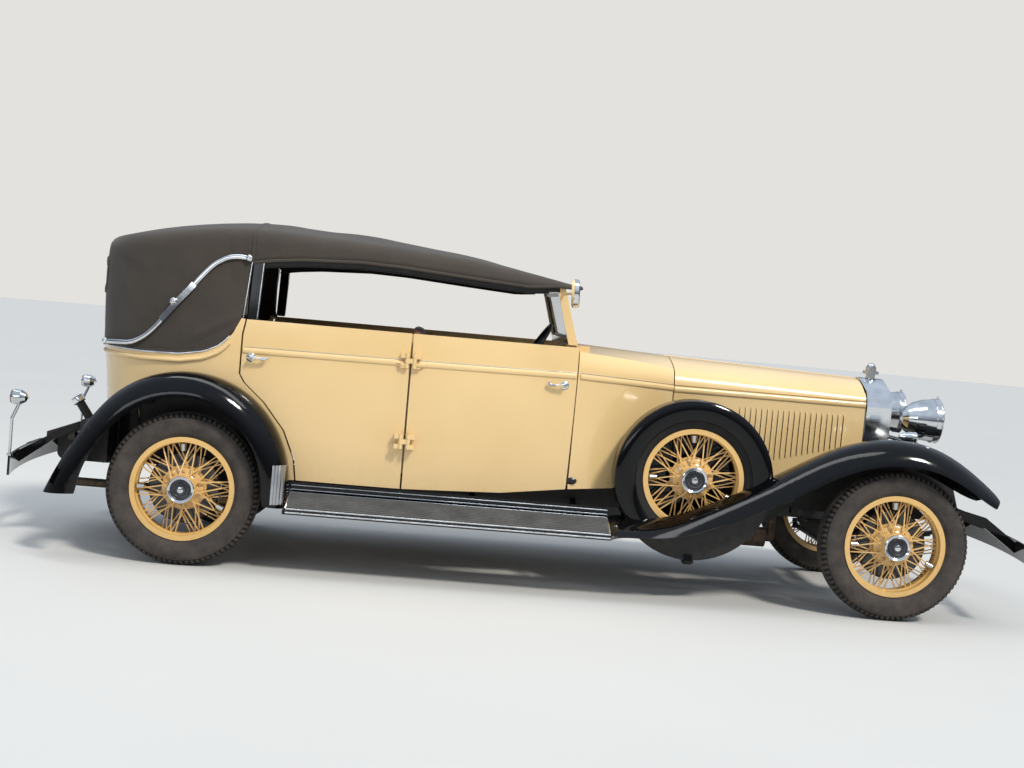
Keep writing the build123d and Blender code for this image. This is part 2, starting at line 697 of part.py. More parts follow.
def make_scuttle():
    """Scuttle shell with bulkhead, toe board, dash panel and the two windscreen posts."""
    outer = loft([nose_section(row) for row in SCUTTLE_ROWS])
    inner = scuttle_cavity(0)
    core = outer & inner
    shell = outer - inner
    bulkhead_x = SCUTTLE_FRONT_X - 34
    shell += core & block((bulkhead_x, bulkhead_x + 14), (-700, 700), (0, 2000))
    shell -= block((GEARBOX_REAR_X - 10, 800), (-125, 125), (0, 650))
    foot_z = FLOOR_TOP + SEAT_GAP
    toe = side_profile([(TOE_X, foot_z), (bulkhead_x + 4, 700), (bulkhead_x + 4, 716), (TOE_X - 15, foot_z)], -700, 700)
    shell += toe & core
    shell += core & block(DASH_X, (-700, 700), (DASH_Z, 1400))
    post_y = (POST_INNER, POST_INNER + POST_SIZE)
    for low, high in (post_y, (-post_y[1], -post_y[0])):
        shell += block((POST_X, BODY_FRONT_X + 60), (low, high), (FLOOR_TOP + SEAT_GAP, SCREEN_FOOT_Z - SEAT_GAP))
    ledge = POST_INNER + POST_SIZE + 20
    shell += block((POST_X, BODY_FRONT_X + 6), (-ledge, ledge), (SILL_Z - 22, SCREEN_FOOT_Z - SEAT_GAP))
    crown = bonnet_crown(SCUTTLE_FRONT_X) + HINGE_RISE
    nose = bonnet_crown(BONNET_FRONT_X) + HINGE_RISE
    end_x = RADIATOR_REAR_X - SEAT_GAP
    shell += rod((SCUTTLE_FRONT_X - 12, 0, crown), (end_x, 0, nose), BONNET_GAP / 2 - SEAT_GAP)
    return shell


HINGE_RISE = 1


POST_INNER = 485
POST_SIZE = 58
POST_X = 140
SCREEN_FOOT_Z = SILL_Z + 10
DASH_Z = 1150
DASH_X = (BODY_FRONT_X + 20, BODY_FRONT_X + 36)


# Doors: the tub's wall between shut lines

DOOR_TOP = SILL_Z
FRONT_DOOR_FRONT_X = 205
DOOR_EDGE_GAP = 5
# Columns: x, z of the rear door's rear edge, from the top down
REAR_EDGE = [(-1571, 1320), (-1584, 1240), (-1584, 1030), (-1556, 985), (-1446, 890), (-1332, 750), (-1268, 600),
             (-1252, 484)]
HINGE_OFFSET = 20
HINGE_STAND = 16
HINGE_HEIGHTS = (745, 1175)
PIN_RADIUS = 6
BARREL_RADIUS = 11
KNUCKLE = 26


def tub_wall():
    return tub_solid() - tub_solid(WALL)


def door_lock(x, z, towards):
    """A boss on the skin and a curved lever; towards is +1 where the lever points forwards."""
    skin = half_width(TUB_LEVELS, x, z)
    lever_y = skin + 34
    piece = rod((x, skin - 6, z), (x, lever_y + 5, z), 9)
    piece += rod((x, skin - 4, z), (x, skin + 5, z), 21)
    middle = (x + towards * 38, lever_y + 4, z - 6)
    end = (x + towards * 78, lever_y - 6, z + 4)
    piece += rod((x, lever_y, z), middle, 6)
    piece += rod(middle, end, 6)
    piece += Pos(*middle) * Sphere(6)
    piece += Pos(*end) * Sphere(7)
    return piece


HINGE_PIN_Y = half_width(TUB_LEVELS, HINGE_LINE_X, HINGE_HEIGHTS[1]) + HINGE_STAND + 5
CENTRE_POST_Y = half_width(TUB_LEVELS, HINGE_LINE_X, 600) - WALL - 10


def door_hinge_leaf(side):
    """The door's half of both hinges: two knuckles round the pin line and a leaf on the skin."""
    pin_x = HINGE_LINE_X + side * HINGE_OFFSET
    leaf = None
    for z in HINGE_HEIGHTS:
        skin = half_width(TUB_LEVELS, pin_x, z)
        for low, high in ((z - 1.5 * KNUCKLE, z - 0.5 * KNUCKLE - 1), (z + 0.5 * KNUCKLE + 1, z + 1.5 * KNUCKLE)):
            barrel = rod((pin_x, HINGE_PIN_Y, low), (pin_x, HINGE_PIN_Y, high), BARREL_RADIUS)
            tongue = block(
                (min(pin_x, pin_x + side * 34), max(pin_x, pin_x + side * 34)),
                (skin - 8, HINGE_PIN_Y + 3), (low, high))
            piece = (barrel + tongue) - rod((pin_x, HINGE_PIN_Y, low - 5), (pin_x, HINGE_PIN_Y, high + 5), PIN_RADIUS + SEAT_GAP)
            leaf = piece if leaf is None else leaf + piece
    return leaf


def centre_hinges():
    """The pillar's half: a plate through the shut gap with a middle knuckle and pin for each door."""
    fixed = None
    for z in HINGE_HEIGHTS:
        low, high = z - 0.5 * KNUCKLE, z + 0.5 * KNUCKLE
        plate = block((HINGE_LINE_X - 2, HINGE_LINE_X + 2), (CENTRE_POST_Y - 8, HINGE_PIN_Y + 2), (low, high))
        for side in (-1, 1):
            pin_x = HINGE_LINE_X + side * HINGE_OFFSET
            plate += rod((pin_x, HINGE_PIN_Y, low), (pin_x, HINGE_PIN_Y, high), BARREL_RADIUS)
            plate += rod((pin_x, HINGE_PIN_Y, z - 1.5 * KNUCKLE), (pin_x, HINGE_PIN_Y, z + 1.5 * KNUCKLE), PIN_RADIUS)
        plate += block((HINGE_LINE_X - HINGE_OFFSET, HINGE_LINE_X + HINGE_OFFSET), (HINGE_PIN_Y - 5, HINGE_PIN_Y + 5), (low, high))
        fixed = plate if fixed is None else fixed + plate
    return fixed


def make_front_door(wall):
    """The left front door, hung on its rear edge."""
    rear = HINGE_LINE_X + DOOR_EDGE_GAP
    front = FRONT_DOOR_FRONT_X
    side = side_profile(
        [(rear, BODY_BOTTOM), (-156, 503), (front, 548), (front, DOOR_TOP), (rear, DOOR_TOP)], 0, 1000)
    bevel = plan_profile([(rear, 0), (front - 60, 0), (front - 14, 560), (front, 660), (front, 1000), (rear, 1000)], 0, 2000)
    door = wall & side & bevel
    return door + door_lock(140, 1112, -1) + door_hinge_leaf(1)


def make_rear_door(wall):
    """The left rear door, hung on its front edge, its rear edge following the wheel arch."""
    front = HINGE_LINE_X - DOOR_EDGE_GAP
    side = side_profile(REAR_EDGE + [(front, BODY_BOTTOM), (front, DOOR_TOP)], 0, 1000)
    door = wall & side
    return door + door_lock(-1535, 1122, 1) + door_hinge_leaf(-1)


# Rear body

ARCH_RADIUS = 505
LINER_WALL = 8
LINER_Y = 592
# Columns: x, z of the line where the cloth top meets the body, from the door backwards
HOOD_LINE = [(-1586, 1325), (-1600, 1325), (-1640, 1240), (-1700, 1170), (-1784, 1128), (-1913, 1104), (-2131, 1098), (-2600, 1110)]
TAIL_BOTTOM = KICK_TOP + 14


def make_rear_body(wall):
    """Rear quarters and tail, cut for the wheels, with the wheel housings inside."""
    clear = SHUT_GAP + 3
    edge = [(x - clear, z) for x, z in REAR_EDGE]
    outline = edge[::-1] + [(x, z) for x, z in HOOD_LINE[1:]] + [(-2700, 1110), (-2700, BODY_BOTTOM)]
    outline = [(x, min(z, 1325)) for x, z in outline]
    body = wall & side_profile(outline, -1000, 1000)
    body -= rod((REAR_AXLE_X, 560, TYRE_RADIUS), (REAR_AXLE_X, 1000, TYRE_RADIUS), ARCH_RADIUS)
    body -= rod((REAR_AXLE_X, -560, TYRE_RADIUS), (REAR_AXLE_X, -1000, TYRE_RADIUS), ARCH_RADIUS)
    body -= block((-2700, REAR_AXLE_X), (-1000, 1000), (400, TAIL_BOTTOM))
    drum = rod((REAR_AXLE_X, LINER_Y, TYRE_RADIUS), (REAR_AXLE_X, 720, TYRE_RADIUS), ARCH_RADIUS + LINER_WALL)
    hollow = rod((REAR_AXLE_X, LINER_Y + LINER_WALL, TYRE_RADIUS), (REAR_AXLE_X, 740, TYRE_RADIUS), ARCH_RADIUS)
    housing = (drum - hollow) & block((-2400, -1200), (LINER_Y - 5, 720), (620, 1200))
    housing &= tub_solid(6)
    return body + housing + mirrored(housing)


HEEL_X = -1000
SEAT_PAN_Z = KICK_TOP + 22
PAN_REAR_X = -2300


def make_body_floor():
    """Floor, heel board, raised rear pan and the two centre posts with the fixed door hinges."""
    inside = tub_solid(WALL + 10)
    low = inside & block((HEEL_X, BODY_FRONT_X), (-700, 700), (RAIL_TOP + SEAT_GAP, FLOOR_TOP))
    front = scuttle_cavity(SEAT_GAP) & block((BODY_FRONT_X, TOE_X + 5), (-700, 700), (RAIL_TOP + SEAT_GAP, FLOOR_TOP))
    bridge = block((BODY_FRONT_X - 10, BODY_FRONT_X + 10), (-550, 550), (RAIL_TOP + SEAT_GAP, FLOOR_TOP))
    floor = low + front + bridge
    well = LINER_Y - SEAT_GAP
    floor += block((HEEL_X - 26, HEEL_X + 1), (-well, well), (RAIL_TOP + 60, SEAT_PAN_Z))
    floor += block((HEEL_X - 2, HEEL_X + 20), (-well, well), (FLOOR_TOP - 10, RAIL_TOP + 90))
    pan = tub_solid(WALL + SEAT_GAP) & block(
        (PAN_REAR_X, HEEL_X - 24), (-well, well), (KICK_TOP + SEAT_GAP, SEAT_PAN_Z))
    floor += pan
    posts = block((HINGE_LINE_X - 36, HINGE_LINE_X + 36), (CENTRE_POST_Y - 48, CENTRE_POST_Y), (FLOOR_TOP - 10, SILL_Z - 6))
    posts += centre_hinges()
    return floor + posts + mirrored(posts)


# Windscreen, leaning back: columns x, z round the frame's side outline

SCREEN_TOP_Z = 1634
SCREEN_HALF = 612
SCREEN_SIDE = [(146, SCREEN_FOOT_Z), (196, SCREEN_FOOT_Z), (104, SCREEN_TOP_Z), (60, SCREEN_TOP_Z)]
SCREEN_BORDER = 38
GLASS = 6
MIRROR_RADIUS = 74


def screen_x(z):
    """Middle of the frame's thickness at a height."""
    share = (z - SCREEN_FOOT_Z) / (SCREEN_TOP_Z - SCREEN_FOOT_Z)
    foot = (SCREEN_SIDE[0][0] + SCREEN_SIDE[1][0]) / 2
    top = (SCREEN_SIDE[2][0] + SCREEN_SIDE[3][0]) / 2
    return foot + (top - foot) * share


def make_windscreen_frame():
    """Posts, header and foot rail in one frame, with the outside mirror on the right post."""
    frame = side_profile(SCREEN_SIDE, -SCREEN_HALF, SCREEN_HALF)
    inner = SCREEN_HALF - SCREEN_BORDER
    frame -= block((-100, 400), (-inner, inner), (SCREEN_FOOT_Z + SCREEN_BORDER * 0.8, SCREEN_TOP_Z - SCREEN_BORDER * 0.8))
    arm_z = 1606
    arm_x = screen_x(arm_z)
    frame += rod((arm_x, -SCREEN_HALF + 6, arm_z - 8), (arm_x + 40, -770, arm_z), 7)
    frame += rod((arm_x + 48, -790, arm_z), (arm_x + 62, -794, arm_z + 2), MIRROR_RADIUS)
    frame += rod((arm_x + 36, -768, arm_z), (arm_x + 54, -788, arm_z), 11)
    return frame


def make_windscreen_glass():
    inner = SCREEN_HALF - SCREEN_BORDER - SEAT_GAP
    low = SCREEN_FOOT_Z + SCREEN_BORDER * 0.8 + SEAT_GAP
    high = SCREEN_TOP_Z - SCREEN_BORDER * 0.8 - SEAT_GAP
    half = GLASS / 2
    return side_profile([
        (screen_x(low) - half, low), (screen_x(low) + half, low),
        (screen_x(high) + half, high), (screen_x(high) - half, high),
    ], -inner, inner)


# Cloth top: a crowned roof over leaning sides

TOP_FRONT_X = 189
TOP_CLOTH = 14
ROOF_DROP = 78
ROOF_ROUND = 70
# Columns: x, z along the roof's centreline
ROOF_FRONT = [(TOP_FRONT_X + 8, 1650), (-450, 1778), (-1200, 1846)]
ROOF_REAR = [(-1200, 1846), (-1860, 1828), (-2440, 1690)]
VALANCE_LINE = [(TOP_FRONT_X, 1633), (60, 1635.5), (-100, 1621), (-369, 1637), (-773, 1664), (-1000, 1670), (-1302, 1656), (-1450, 1640), (-1572, 1618)]
BACK_LIGHT = ((-290, 290), (1420, 1560))


def roof_side(y, edge, inset):
    """The roof's outline in a plane at y: edge is 0 on the centreline and 1 over the sides."""
    drops = ((8, 52, ROOF_DROP), (ROOF_DROP, ROOF_DROP, ROOF_DROP))
    points = [[(x, z - edge * drop - inset) for (x, z), drop in zip(row, drop_row)]
              for row, drop_row in zip((ROOF_FRONT, ROOF_REAR), drops)]
    front_x = points[0][0][0]
    rear_x = points[1][2][0] - 60
    floor_z = 1000
    outline = face_of(
        ThreePointArc(*points[0]),
        ThreePointArc(*points[1]),
        Line(points[1][2], (rear_x, points[1][2][1] - 60)),
        Line((rear_x, points[1][2][1] - 60), (rear_x, floor_z)),
        Line((rear_x, floor_z), (front_x, floor_z)),
        Line((front_x, floor_z), points[0][0]),
    )
    return (Plane.XZ * outline).moved(Location((0, y, 0)))


def top_solid(inset=0):
    """The raised top as one lump, its cloth moved inwards by inset."""
    side_y = 720
    roof = loft([roof_side(-side_y, 1, inset), roof_side(0, 0, inset), roof_side(side_y, 1, inset)])
    walls = loft([level_outline(TOP_LEVELS, row[0], inset) for row in TOP_LEVELS])
    lump = walls & roof
    rim = [edge for edge in lump.edges() if edge.center().Z > 1600 and edge.center().X < 150
           and (abs(edge.center().Y) > 300 or edge.center().X < -2300)]
    return fillet(rim, ROOF_ROUND - inset)


def make_soft_top():
    """Cloth top, hollow, open at the side windows, the front and the rear light."""
    outer = top_solid()
    inner = top_solid(TOP_CLOTH)
    lower = [(x, z + SEAT_GAP) for x, z in HOOD_LINE if z != 1325] + [(-2700, 1110)]
    outline = VALANCE_LINE + [(-1572, 1325 + SEAT_GAP), (-1600, 1325 + SEAT_GAP)] + lower
    outline += [(-2700, 2000), (TOP_FRONT_X, 2000)]
    top = (outer - inner) & side_profile(outline, -1000, 1000)
    top += outer & block((46, 176), (-SCREEN_HALF, SCREEN_HALF), (SCREEN_TOP_Z + SEAT_GAP, 1720))
    top -= block((-2700, -2200), *BACK_LIGHT)
    return top


LANDAU_POINTS = [(-1585, 1640), (-1690, 1640), (-1775, 1585), (-1885, 1450), (-1950, 1370), (-2010, 1290), (-2085, 1195), (-2150, 1160)]
IRON_RADIUS = 8
# Columns: radius, distance outwards from the iron's centreline
IRON_KNOB = [(0, -15.2), (2.2, -15.2), (7.5, -11.5), (8.5, -6), (13, -5), (14, 0), (13, 5), (9, 10), (0, 11)]


def make_landau_irons():
    """One S-shaped iron on each side of the cloth top, with ball ends and a middle joint."""
    top = top_solid()
    stand = 2 * IRON_RADIUS
    outside = [cloth_y(top, x, z) + stand for x, z in LANDAU_POINTS]
    irons = []
    for side in (1, -1):
        points = [(x, side * y, z) for (x, z), y in zip(LANDAU_POINTS, outside)]
        path = Spline(*points)
        iron = sweep(Plane(origin=path @ 0, z_dir=path % 0) * Circle(IRON_RADIUS), path=path)
        for spot in (points[0], points[4], points[-1]):
            iron += turned([(radius, side * y) for radius, y in IRON_KNOB]).moved(Location(spot))
        irons += iron.solids()
    return Compound(children=irons)


def cloth_y(top, x, z):
    """Where the outside of the cloth top lies at a place on its left side."""
    return (top & rod((x, 400, z), (x, 1000, z), 1)).bounding_box().max.Y


# Wings: hoops across the wing, leaning with its line. A hoop has its crown at (x, z);
# lean is the tilt of its upward direction towards +X, in degrees.

def wing_hoop(x, z, lean, inner_y, inner_drop, crown_y, lip_y, lip_drop):
    """Cross-section of a sheet wing: one arc from the crown out to the lip, one in to the body."""
    up = (sin(radians(lean)), 0, cos(radians(lean)))
    plane = Plane(origin=(x, 0, z), x_dir=(0, 1, 0), z_dir=Vector(0, 1, 0).cross(Vector(*up)))
    points = []
    for span, drop, sign in ((lip_y - crown_y, lip_drop, 1), (crown_y - inner_y, inner_drop, -1)):
        radius = (span ** 2 + drop ** 2) / (2 * drop)
        swing = asin_of(span / radius) if drop < span else pi - asin_of(span / radius)
        arcs = []
        for size in (radius, radius - WING_WALL):
            arcs.append([
                (crown_y + sign * size * sin(swing * share), size * cos(swing * share) - radius)
                for share in (0, 0.5, 1)
            ])
        points.append(arcs)
    (lip_outer, lip_inner), (body_outer, body_inner) = points
    outline = face_of(
        ThreePointArc(*lip_outer),
        Line(lip_outer[2], lip_inner[2]),
        ThreePointArc(*lip_inner[::-1]),
        ThreePointArc(*body_inner),
        Line(body_inner[2], body_outer[2]),
        ThreePointArc(*body_outer[::-1]),
    )
    return plane * outline


# Columns: crown x, crown z, lean, inner y, drop to the inner edge, crown y, lip y, drop to the lip
FRONT_WING = [
    (437, 414, 0, 640, 2, 700, HALF_WIDTH, 76),
    (718, 452, -14, 480, 4, 715, HALF_WIDTH, 86),
    (890, 509, -21, 474, 8, 725, HALF_WIDTH, 96),
    (1093, 605, -27, 470, 30, 740, HALF_WIDTH, 106),
    (1296, 713, -30, 438, 75, 750, HALF_WIDTH, 116),
    (1463, 812, -29, 438, 110, 755, HALF_WIDTH, 122),
    (1632, 902, -22, 438, 135, 755, HALF_WIDTH, 126),
    (1807, 958, -11, 438, 150, 755, HALF_WIDTH, 128),
    (1983, 974, 3, 438, 152, 755, HALF_WIDTH, 126),
    (2166, 942, 18, 438, 140, 755, HALF_WIDTH, 118),
    (2356, 845, 33, 450, 110, 755, 900, 100),
    (2489, 747, 40, 480, 80, 750, 880, 80),
    (2540, 700, 45, 520, 50, 735, 850, 60),
]
APRON_WALL = 9
# Columns: angle about the rear wheel, crown radius, radius at the body, radius at the lip, crown y
REAR_WING = [
    (-6, 546, 545, 436, 790),
    (12, 556, 554, 425, 770),
    (32, 574, 571, 436, 764),
    (50, 592, 589, 452, 762),
    (66, 606, 603, 470, 766),
    (82, 614, 611, 486, 774),
    (98, 617, 614, 490, 776),
    (112, 616, 613, 490, 777),
    (128, 610, 607, 484, 777),
    (146, 602, 598, 484, 784),
    (160, 616, 610, 494, 780),
    (172, 655, 646, 512, 758),
    (182, 712, 700, 528, 718),
    (186, 742, 728, 540, 700),
]
SPARE_X = 877
SPARE_Z = 666
SPARE_Y = 640
SPARE_COVER_RADIUS = 430
SPARE_COVER_WALL = 10
SPARE_COVER_IN = -96
SPARE_COVER_OUT = 92
COVER_MOUTH_RADIUS = 368
COVER_ROUND = 44
BACK_WALL = 8
LIP_WALL = 6


def make_front_wing():
    """Left front wing with its apron down to the frame, cut through for the spare wheel's cover."""
    wing = loft([wing_hoop(*row) for row in FRONT_WING])
    top_line = []
    for x, z, lean, inner_y, drop, *_ in FRONT_WING:
        if inner_y < 470:
            fall = drop + WING_WALL * 0.6
            top_line.append((x - fall * sin(radians(lean)), z - fall * cos(radians(lean))))
    rail_face = RAIL_Y + RAIL_WIDTH / 2 + SEAT_GAP
    low = RAIL_TOP - 40
    rise = FRONT_RISE_TOP - 60
    outline = top_line + [(2400, rise), (1490, rise), (1370, low), (1180, low)]
    apron = side_profile(outline, rail_face, rail_face + APRON_WALL)
    wing += apron
    cut = SPARE_COVER_RADIUS + SEAT_GAP
    wing -= rod((SPARE_X, SPARE_Y + SPARE_COVER_IN - 20, SPARE_Z), (SPARE_X, SPARE_Y + SPARE_COVER_OUT + SEAT_GAP, SPARE_Z), cut)
    return wing


def make_rear_wing():
    """Left rear wing: hoops fanned round the wheel, its inner edge seated on the body's side."""
    hoops = []
    for angle, crown, body, lip, crown_y in REAR_WING:
        x = REAR_AXLE_X + crown * cos(radians(angle))
        z = TYRE_RADIUS + crown * sin(radians(angle))
        hoops.append(wing_hoop(x, z, 90 - angle, 640, crown - body + 1, crown_y, HALF_WIDTH, crown - lip))
    wing = loft(hoops)
    return wing - tub_solid(-SEAT_GAP)


BOARD_FRONT_X = 437 - SEAT_GAP
BOARD_REAR_X = -1292
BOARD_INNER_Y = 655
BOARD_WALL = 14


def make_running_board(rear_wing):
    """Left running board: crowned tread with a rolled edge, valance and three brackets."""
    high = 412
    edge = 338
    section = face_of(
        Line((BOARD_INNER_Y, high - BOARD_WALL), (BOARD_INNER_Y, high)),
        ThreePointArc((BOARD_INNER_Y, high), (790, 402), (HALF_WIDTH - 12, edge + 14)),
        ThreePointArc((HALF_WIDTH - 12, edge + 14), (HALF_WIDTH, edge), (HALF_WIDTH - 10, edge - 10)),
        Line((HALF_WIDTH - 10, edge - 10), (HALF_WIDTH - 24, edge + 2)),
        ThreePointArc((HALF_WIDTH - 24, edge + 2), (785, 402 - BOARD_WALL), (BOARD_INNER_Y, high - BOARD_WALL)),
    )
    board = extrude(Plane.YZ * section, amount=BOARD_FRONT_X - BOARD_REAR_X, dir=(1, 0, 0)).moved(Location((BOARD_REAR_X, 0, 0)))
    board += block((BOARD_REAR_X, BOARD_FRONT_X), (BOARD_INNER_Y - 8, BOARD_INNER_Y + 2), (high - BOARD_WALL, BODY_BOTTOM - 10))
    rail_face = RAIL_Y + RAIL_WIDTH / 2 + SEAT_GAP
    for x in (-880, -300, 260):
        board += cross_profile([
            (rail_face, RAIL_BOTTOM + 4), (rail_face, RAIL_BOTTOM + 50), (rail_face + 20, RAIL_BOTTOM + 50),
            (BOARD_INNER_Y, high - 6), (HALF_WIDTH - 85, 384), (HALF_WIDTH - 85, 372), (BOARD_INNER_Y, high - 40),
        ], x - 15, x + 15)
    board -= rear_wing
    board -= rear_wing.moved(Location((SEAT_GAP, 0, 0)))
    return max(board.solids(), key=lambda solid: solid.volume)


def make_spare_cover():
    """Left spare wheel housing: open ring with a rounded lip, back plate, peg and frame bracket."""
    radius = SPARE_COVER_RADIUS
    floor = SPARE_COVER_IN + BACK_WALL
    ceiling = SPARE_COVER_OUT - LIP_WALL
    outer = rod((0, SPARE_COVER_IN, 0), (0, SPARE_COVER_OUT, 0), radius)
    inner = rod((0, floor, 0), (0, ceiling, 0), radius - SPARE_COVER_WALL)
    cover = fillet(outer.edges().filter_by(GeomType.CIRCLE), COVER_ROUND)
    cover -= fillet(inner.edges().filter_by(GeomType.CIRCLE), COVER_ROUND - LIP_WALL)
    cover -= rod((0, 0, 0), (0, SPARE_COVER_OUT + 5, 0), COVER_MOUTH_RADIUS)
    cover += rod((0, SPARE_COVER_IN + 2, 0), (0, SPINDLE_REACH, 0), SPINDLE_RADIUS)
    cover = cover.moved(Location((SPARE_X, SPARE_Y, SPARE_Z)))
    rail_face = RAIL_Y + RAIL_WIDTH / 2 + SEAT_GAP
    back = SPARE_Y + SPARE_COVER_IN + 1
    cover += block((SPARE_X - 60, SPARE_X + 60), (rail_face, back), (RAIL_BOTTOM + 2, RAIL_BOTTOM + 32))
    cover += block((SPARE_X - 20, SPARE_X + 40), (back, back + 160), (SPARE_Z - radius - 24, SPARE_Z - radius + 4))
    return cover


def spare_copies(shape):
    """The same piece in both spare wheel housings."""
    solids = at_wheel(shape, SPARE_X, SPARE_Y, SPARE_Z).solids() + at_wheel(shape, SPARE_X, -SPARE_Y, SPARE_Z).solids()
    return Compound(children=list(solids))


# Bonnet and radiator

def bonnet_lump(inset=0, low_extra=0):
    return loft([nose_section(row, inset, low_extra) for row in BONNET_ROWS])


def belt_z(x):
    return nose_row(x)[3]


def belt_half(x):
    return nose_row(x)[4]


def bonnet_crown(x):
    return nose_row(x)[7]


BONNET_X = (SCUTTLE_FRONT_X + BONNET_GAP, BONNET_FRONT_X - BONNET_GAP)
LOUVRES = 20
LOUVRE_FIRST_X = 1160
LOUVRE_PITCH = 32
LOUVRE_TOP_Z = 1060


BELT_PIN_RADIUS = 3.9
BELT_PIN_RISE = BELT_PIN_RADIUS + SEAT_GAP - BONNET_GAP / 2


def belt_pin(x):
    """Centre of the hinge between an upper and a side panel."""
    return (x, belt_half(x) - BONNET_WALL + 1, belt_z(x) + BELT_PIN_RISE)


def make_bonnet_top():
    """Left upper panel: from the centre hinge down to the belt hinge."""
    shell = bonnet_lump() - bonnet_lump(BONNET_WALL, 40)
    x_low, x_high = BONNET_X
    side = side_profile([
        (x_low, belt_z(x_low) + BONNET_GAP / 2), (x_high, belt_z(x_high) + BONNET_GAP / 2),
        (x_high, 1500), (x_low, 1500),
    ], BONNET_GAP / 2, 800)
    panel = shell & side
    return panel + rod(belt_pin(x_low), belt_pin(x_high), BELT_PIN_RADIUS)


def make_bonnet_side():
    """Left side panel below the belt hinge, with raised louvres over slots."""
    shell = bonnet_lump() - bonnet_lump(BONNET_WALL, 40)
    x_low, x_high = BONNET_X
    outline = [
        (x_low, belt_z(x_low) - BONNET_GAP / 2), (x_high, belt_z(x_high) - BONNET_GAP / 2),
        (x_high, 664), (1500, 640), (x_low, 610),
    ]
    panel = shell & side_profile(outline, 0, 800)
    slots = []
    for index in range(LOUVRES):
        x = LOUVRE_FIRST_X + LOUVRE_PITCH * index
        slots.append(block((x, x + 12), (150, 600), (720 + 8 * index, LOUVRE_TOP_Z)))
    return panel - slots


RADIATOR_FRONT_X = 2045
RADIATOR_REAR_X = BONNET_FRONT_X + 2
# Columns: y, z round the left half of the radiator's front, from the bottom centre
RADIATOR_HALF = [(0, 598), (232, 598), (262, 640), (290, 1120), (276, 1166), (246, 1206), (70, 1272), (0, 1276)]
RADIATOR_BORDER = 44
FINS = 22
CAP_X = 1985


def radiator_outline(border):
    left = []
    for y, z in RADIATOR_HALF:
        side_y = max(y - border, 0)
        height = z + border * 1.2 if z < 900 else z - border * (1.5 if y < 200 else 1.0)
        left.append((side_y, height))
    right = [(-y, z) for y, z in left[::-1] if y > 0]
    return left + right


def make_radiator_shell():
    """Plated surround, deep behind the grille, with a plain filler cap on top."""
    shell = cross_profile(radiator_outline(0), RADIATOR_REAR_X, RADIATOR_FRONT_X)
    shell -= cross_profile(radiator_outline(RADIATOR_BORDER), RADIATOR_REAR_X - 5, RADIATOR_FRONT_X + 5)
    neck = rod((CAP_X, 0, 1262), (CAP_X, 0, 1304), 27)
    cap = rod((CAP_X, 0, 1300), (CAP_X, 0, 1318), 46)
    cap += rod((CAP_X, 0, 1318), (CAP_X, 0, 1342), 30)
    cap += Pos(CAP_X, 0, 1342) * Sphere(24)
    return shell + neck + cap


def make_radiator_core():
    """Radiator block with upright shutter fins in front, inside the surround."""
    outline = radiator_outline(RADIATOR_BORDER + SEAT_GAP)
    core = cross_profile(outline, RADIATOR_REAR_X + 12, RADIATOR_FRONT_X - 62)
    low = min(z for y, z in outline) + 4
    width = max(y for y, z in outline) - 12
    fins = []
    for index in range(FINS):
        y = -width + 2 * width * index / (FINS - 1)
        fins.append(block((RADIATOR_FRONT_X - 66, RADIATOR_FRONT_X - 26), (y - 2.5, y + 2.5), (low, 1300)))
    trimmed = [fin & cross_profile(outline, RADIATOR_REAR_X, RADIATOR_FRONT_X) for fin in fins]
    return core.fuse(*trimmed)


# Lamps and bumpers

LAMP_Y = 345
LAMP_Z = 1075
LAMP_RADIUS = 125
LAMP_FRONT_X = 2290
LAMP_LENGTH = 215
LAMP_POST_X = 2180


def make_headlamps():
    """Two bowl lamps on posts from the frame rails, tied by a crossbar."""
    half_angle = [0, 18, 36, 54, 72, 90]
    bowl = [(LAMP_FRONT_X - LAMP_LENGTH, 0)]
    for angle in half_angle[1:]:
        share = sin(radians(angle))
        bowl.append((LAMP_FRONT_X - 34 - (LAMP_LENGTH - 34) * cos(radians(angle)), LAMP_RADIUS * 0.96 * share))
    bowl += [(LAMP_FRONT_X - 34, LAMP_RADIUS), (LAMP_FRONT_X - 8, LAMP_RADIUS), (LAMP_FRONT_X - 4, LAMP_RADIUS - 8),
             (LAMP_FRONT_X + 2, LAMP_RADIUS * 0.6), (LAMP_FRONT_X + 6, 0)]
    lamp = turned_x(bowl)
    parts = None
    for y in (-LAMP_Y, LAMP_Y):
        one = lamp.moved(Location((0, y, LAMP_Z)))
        foot_y = RAIL_Y if y > 0 else -RAIL_Y
        one += rod((LAMP_POST_X, y, 930), (LAMP_POST_X, y, LAMP_Z - 60), 14)
        one += rod((LAMP_POST_X, foot_y, FRONT_RISE_TOP + SEAT_GAP), (LAMP_POST_X, y, 935), 15)
        one += Pos(LAMP_POST_X, y, 932) * Sphere(19)
        parts = one if parts is None else parts + one
    parts += rod((LAMP_POST_X, -LAMP_Y, 932), (LAMP_POST_X, LAMP_Y, 932), 12)
    parts -= block((2000, 2400), (-600, 600), (500, FRONT_RISE_TOP + SEAT_GAP))
    return parts


def make_side_lamps():
    """Torpedo lamps on pedestals seated on the front wings."""
    lamp = turned_x([(1986, 0), (1994, 12), (2020, 24), (2060, 29), (2084, 29), (2090, 24), (2094, 0)])
    lamp = lamp.moved(Location((0, SIDE_LAMP_Y, SIDE_LAMP_Z)))
    lamp += rod((2052, SIDE_LAMP_Y, 900), (2052, SIDE_LAMP_Y, SIDE_LAMP_Z), 13)
    cutter = loft([wing_hoop(*row) for row in FRONT_WING[6:10]]).moved(Location((0, 0, SEAT_GAP)))
    lamp -= cutter
    top = max(lamp.solids(), key=lambda solid: solid.center().Z)
    return both_sides(top)


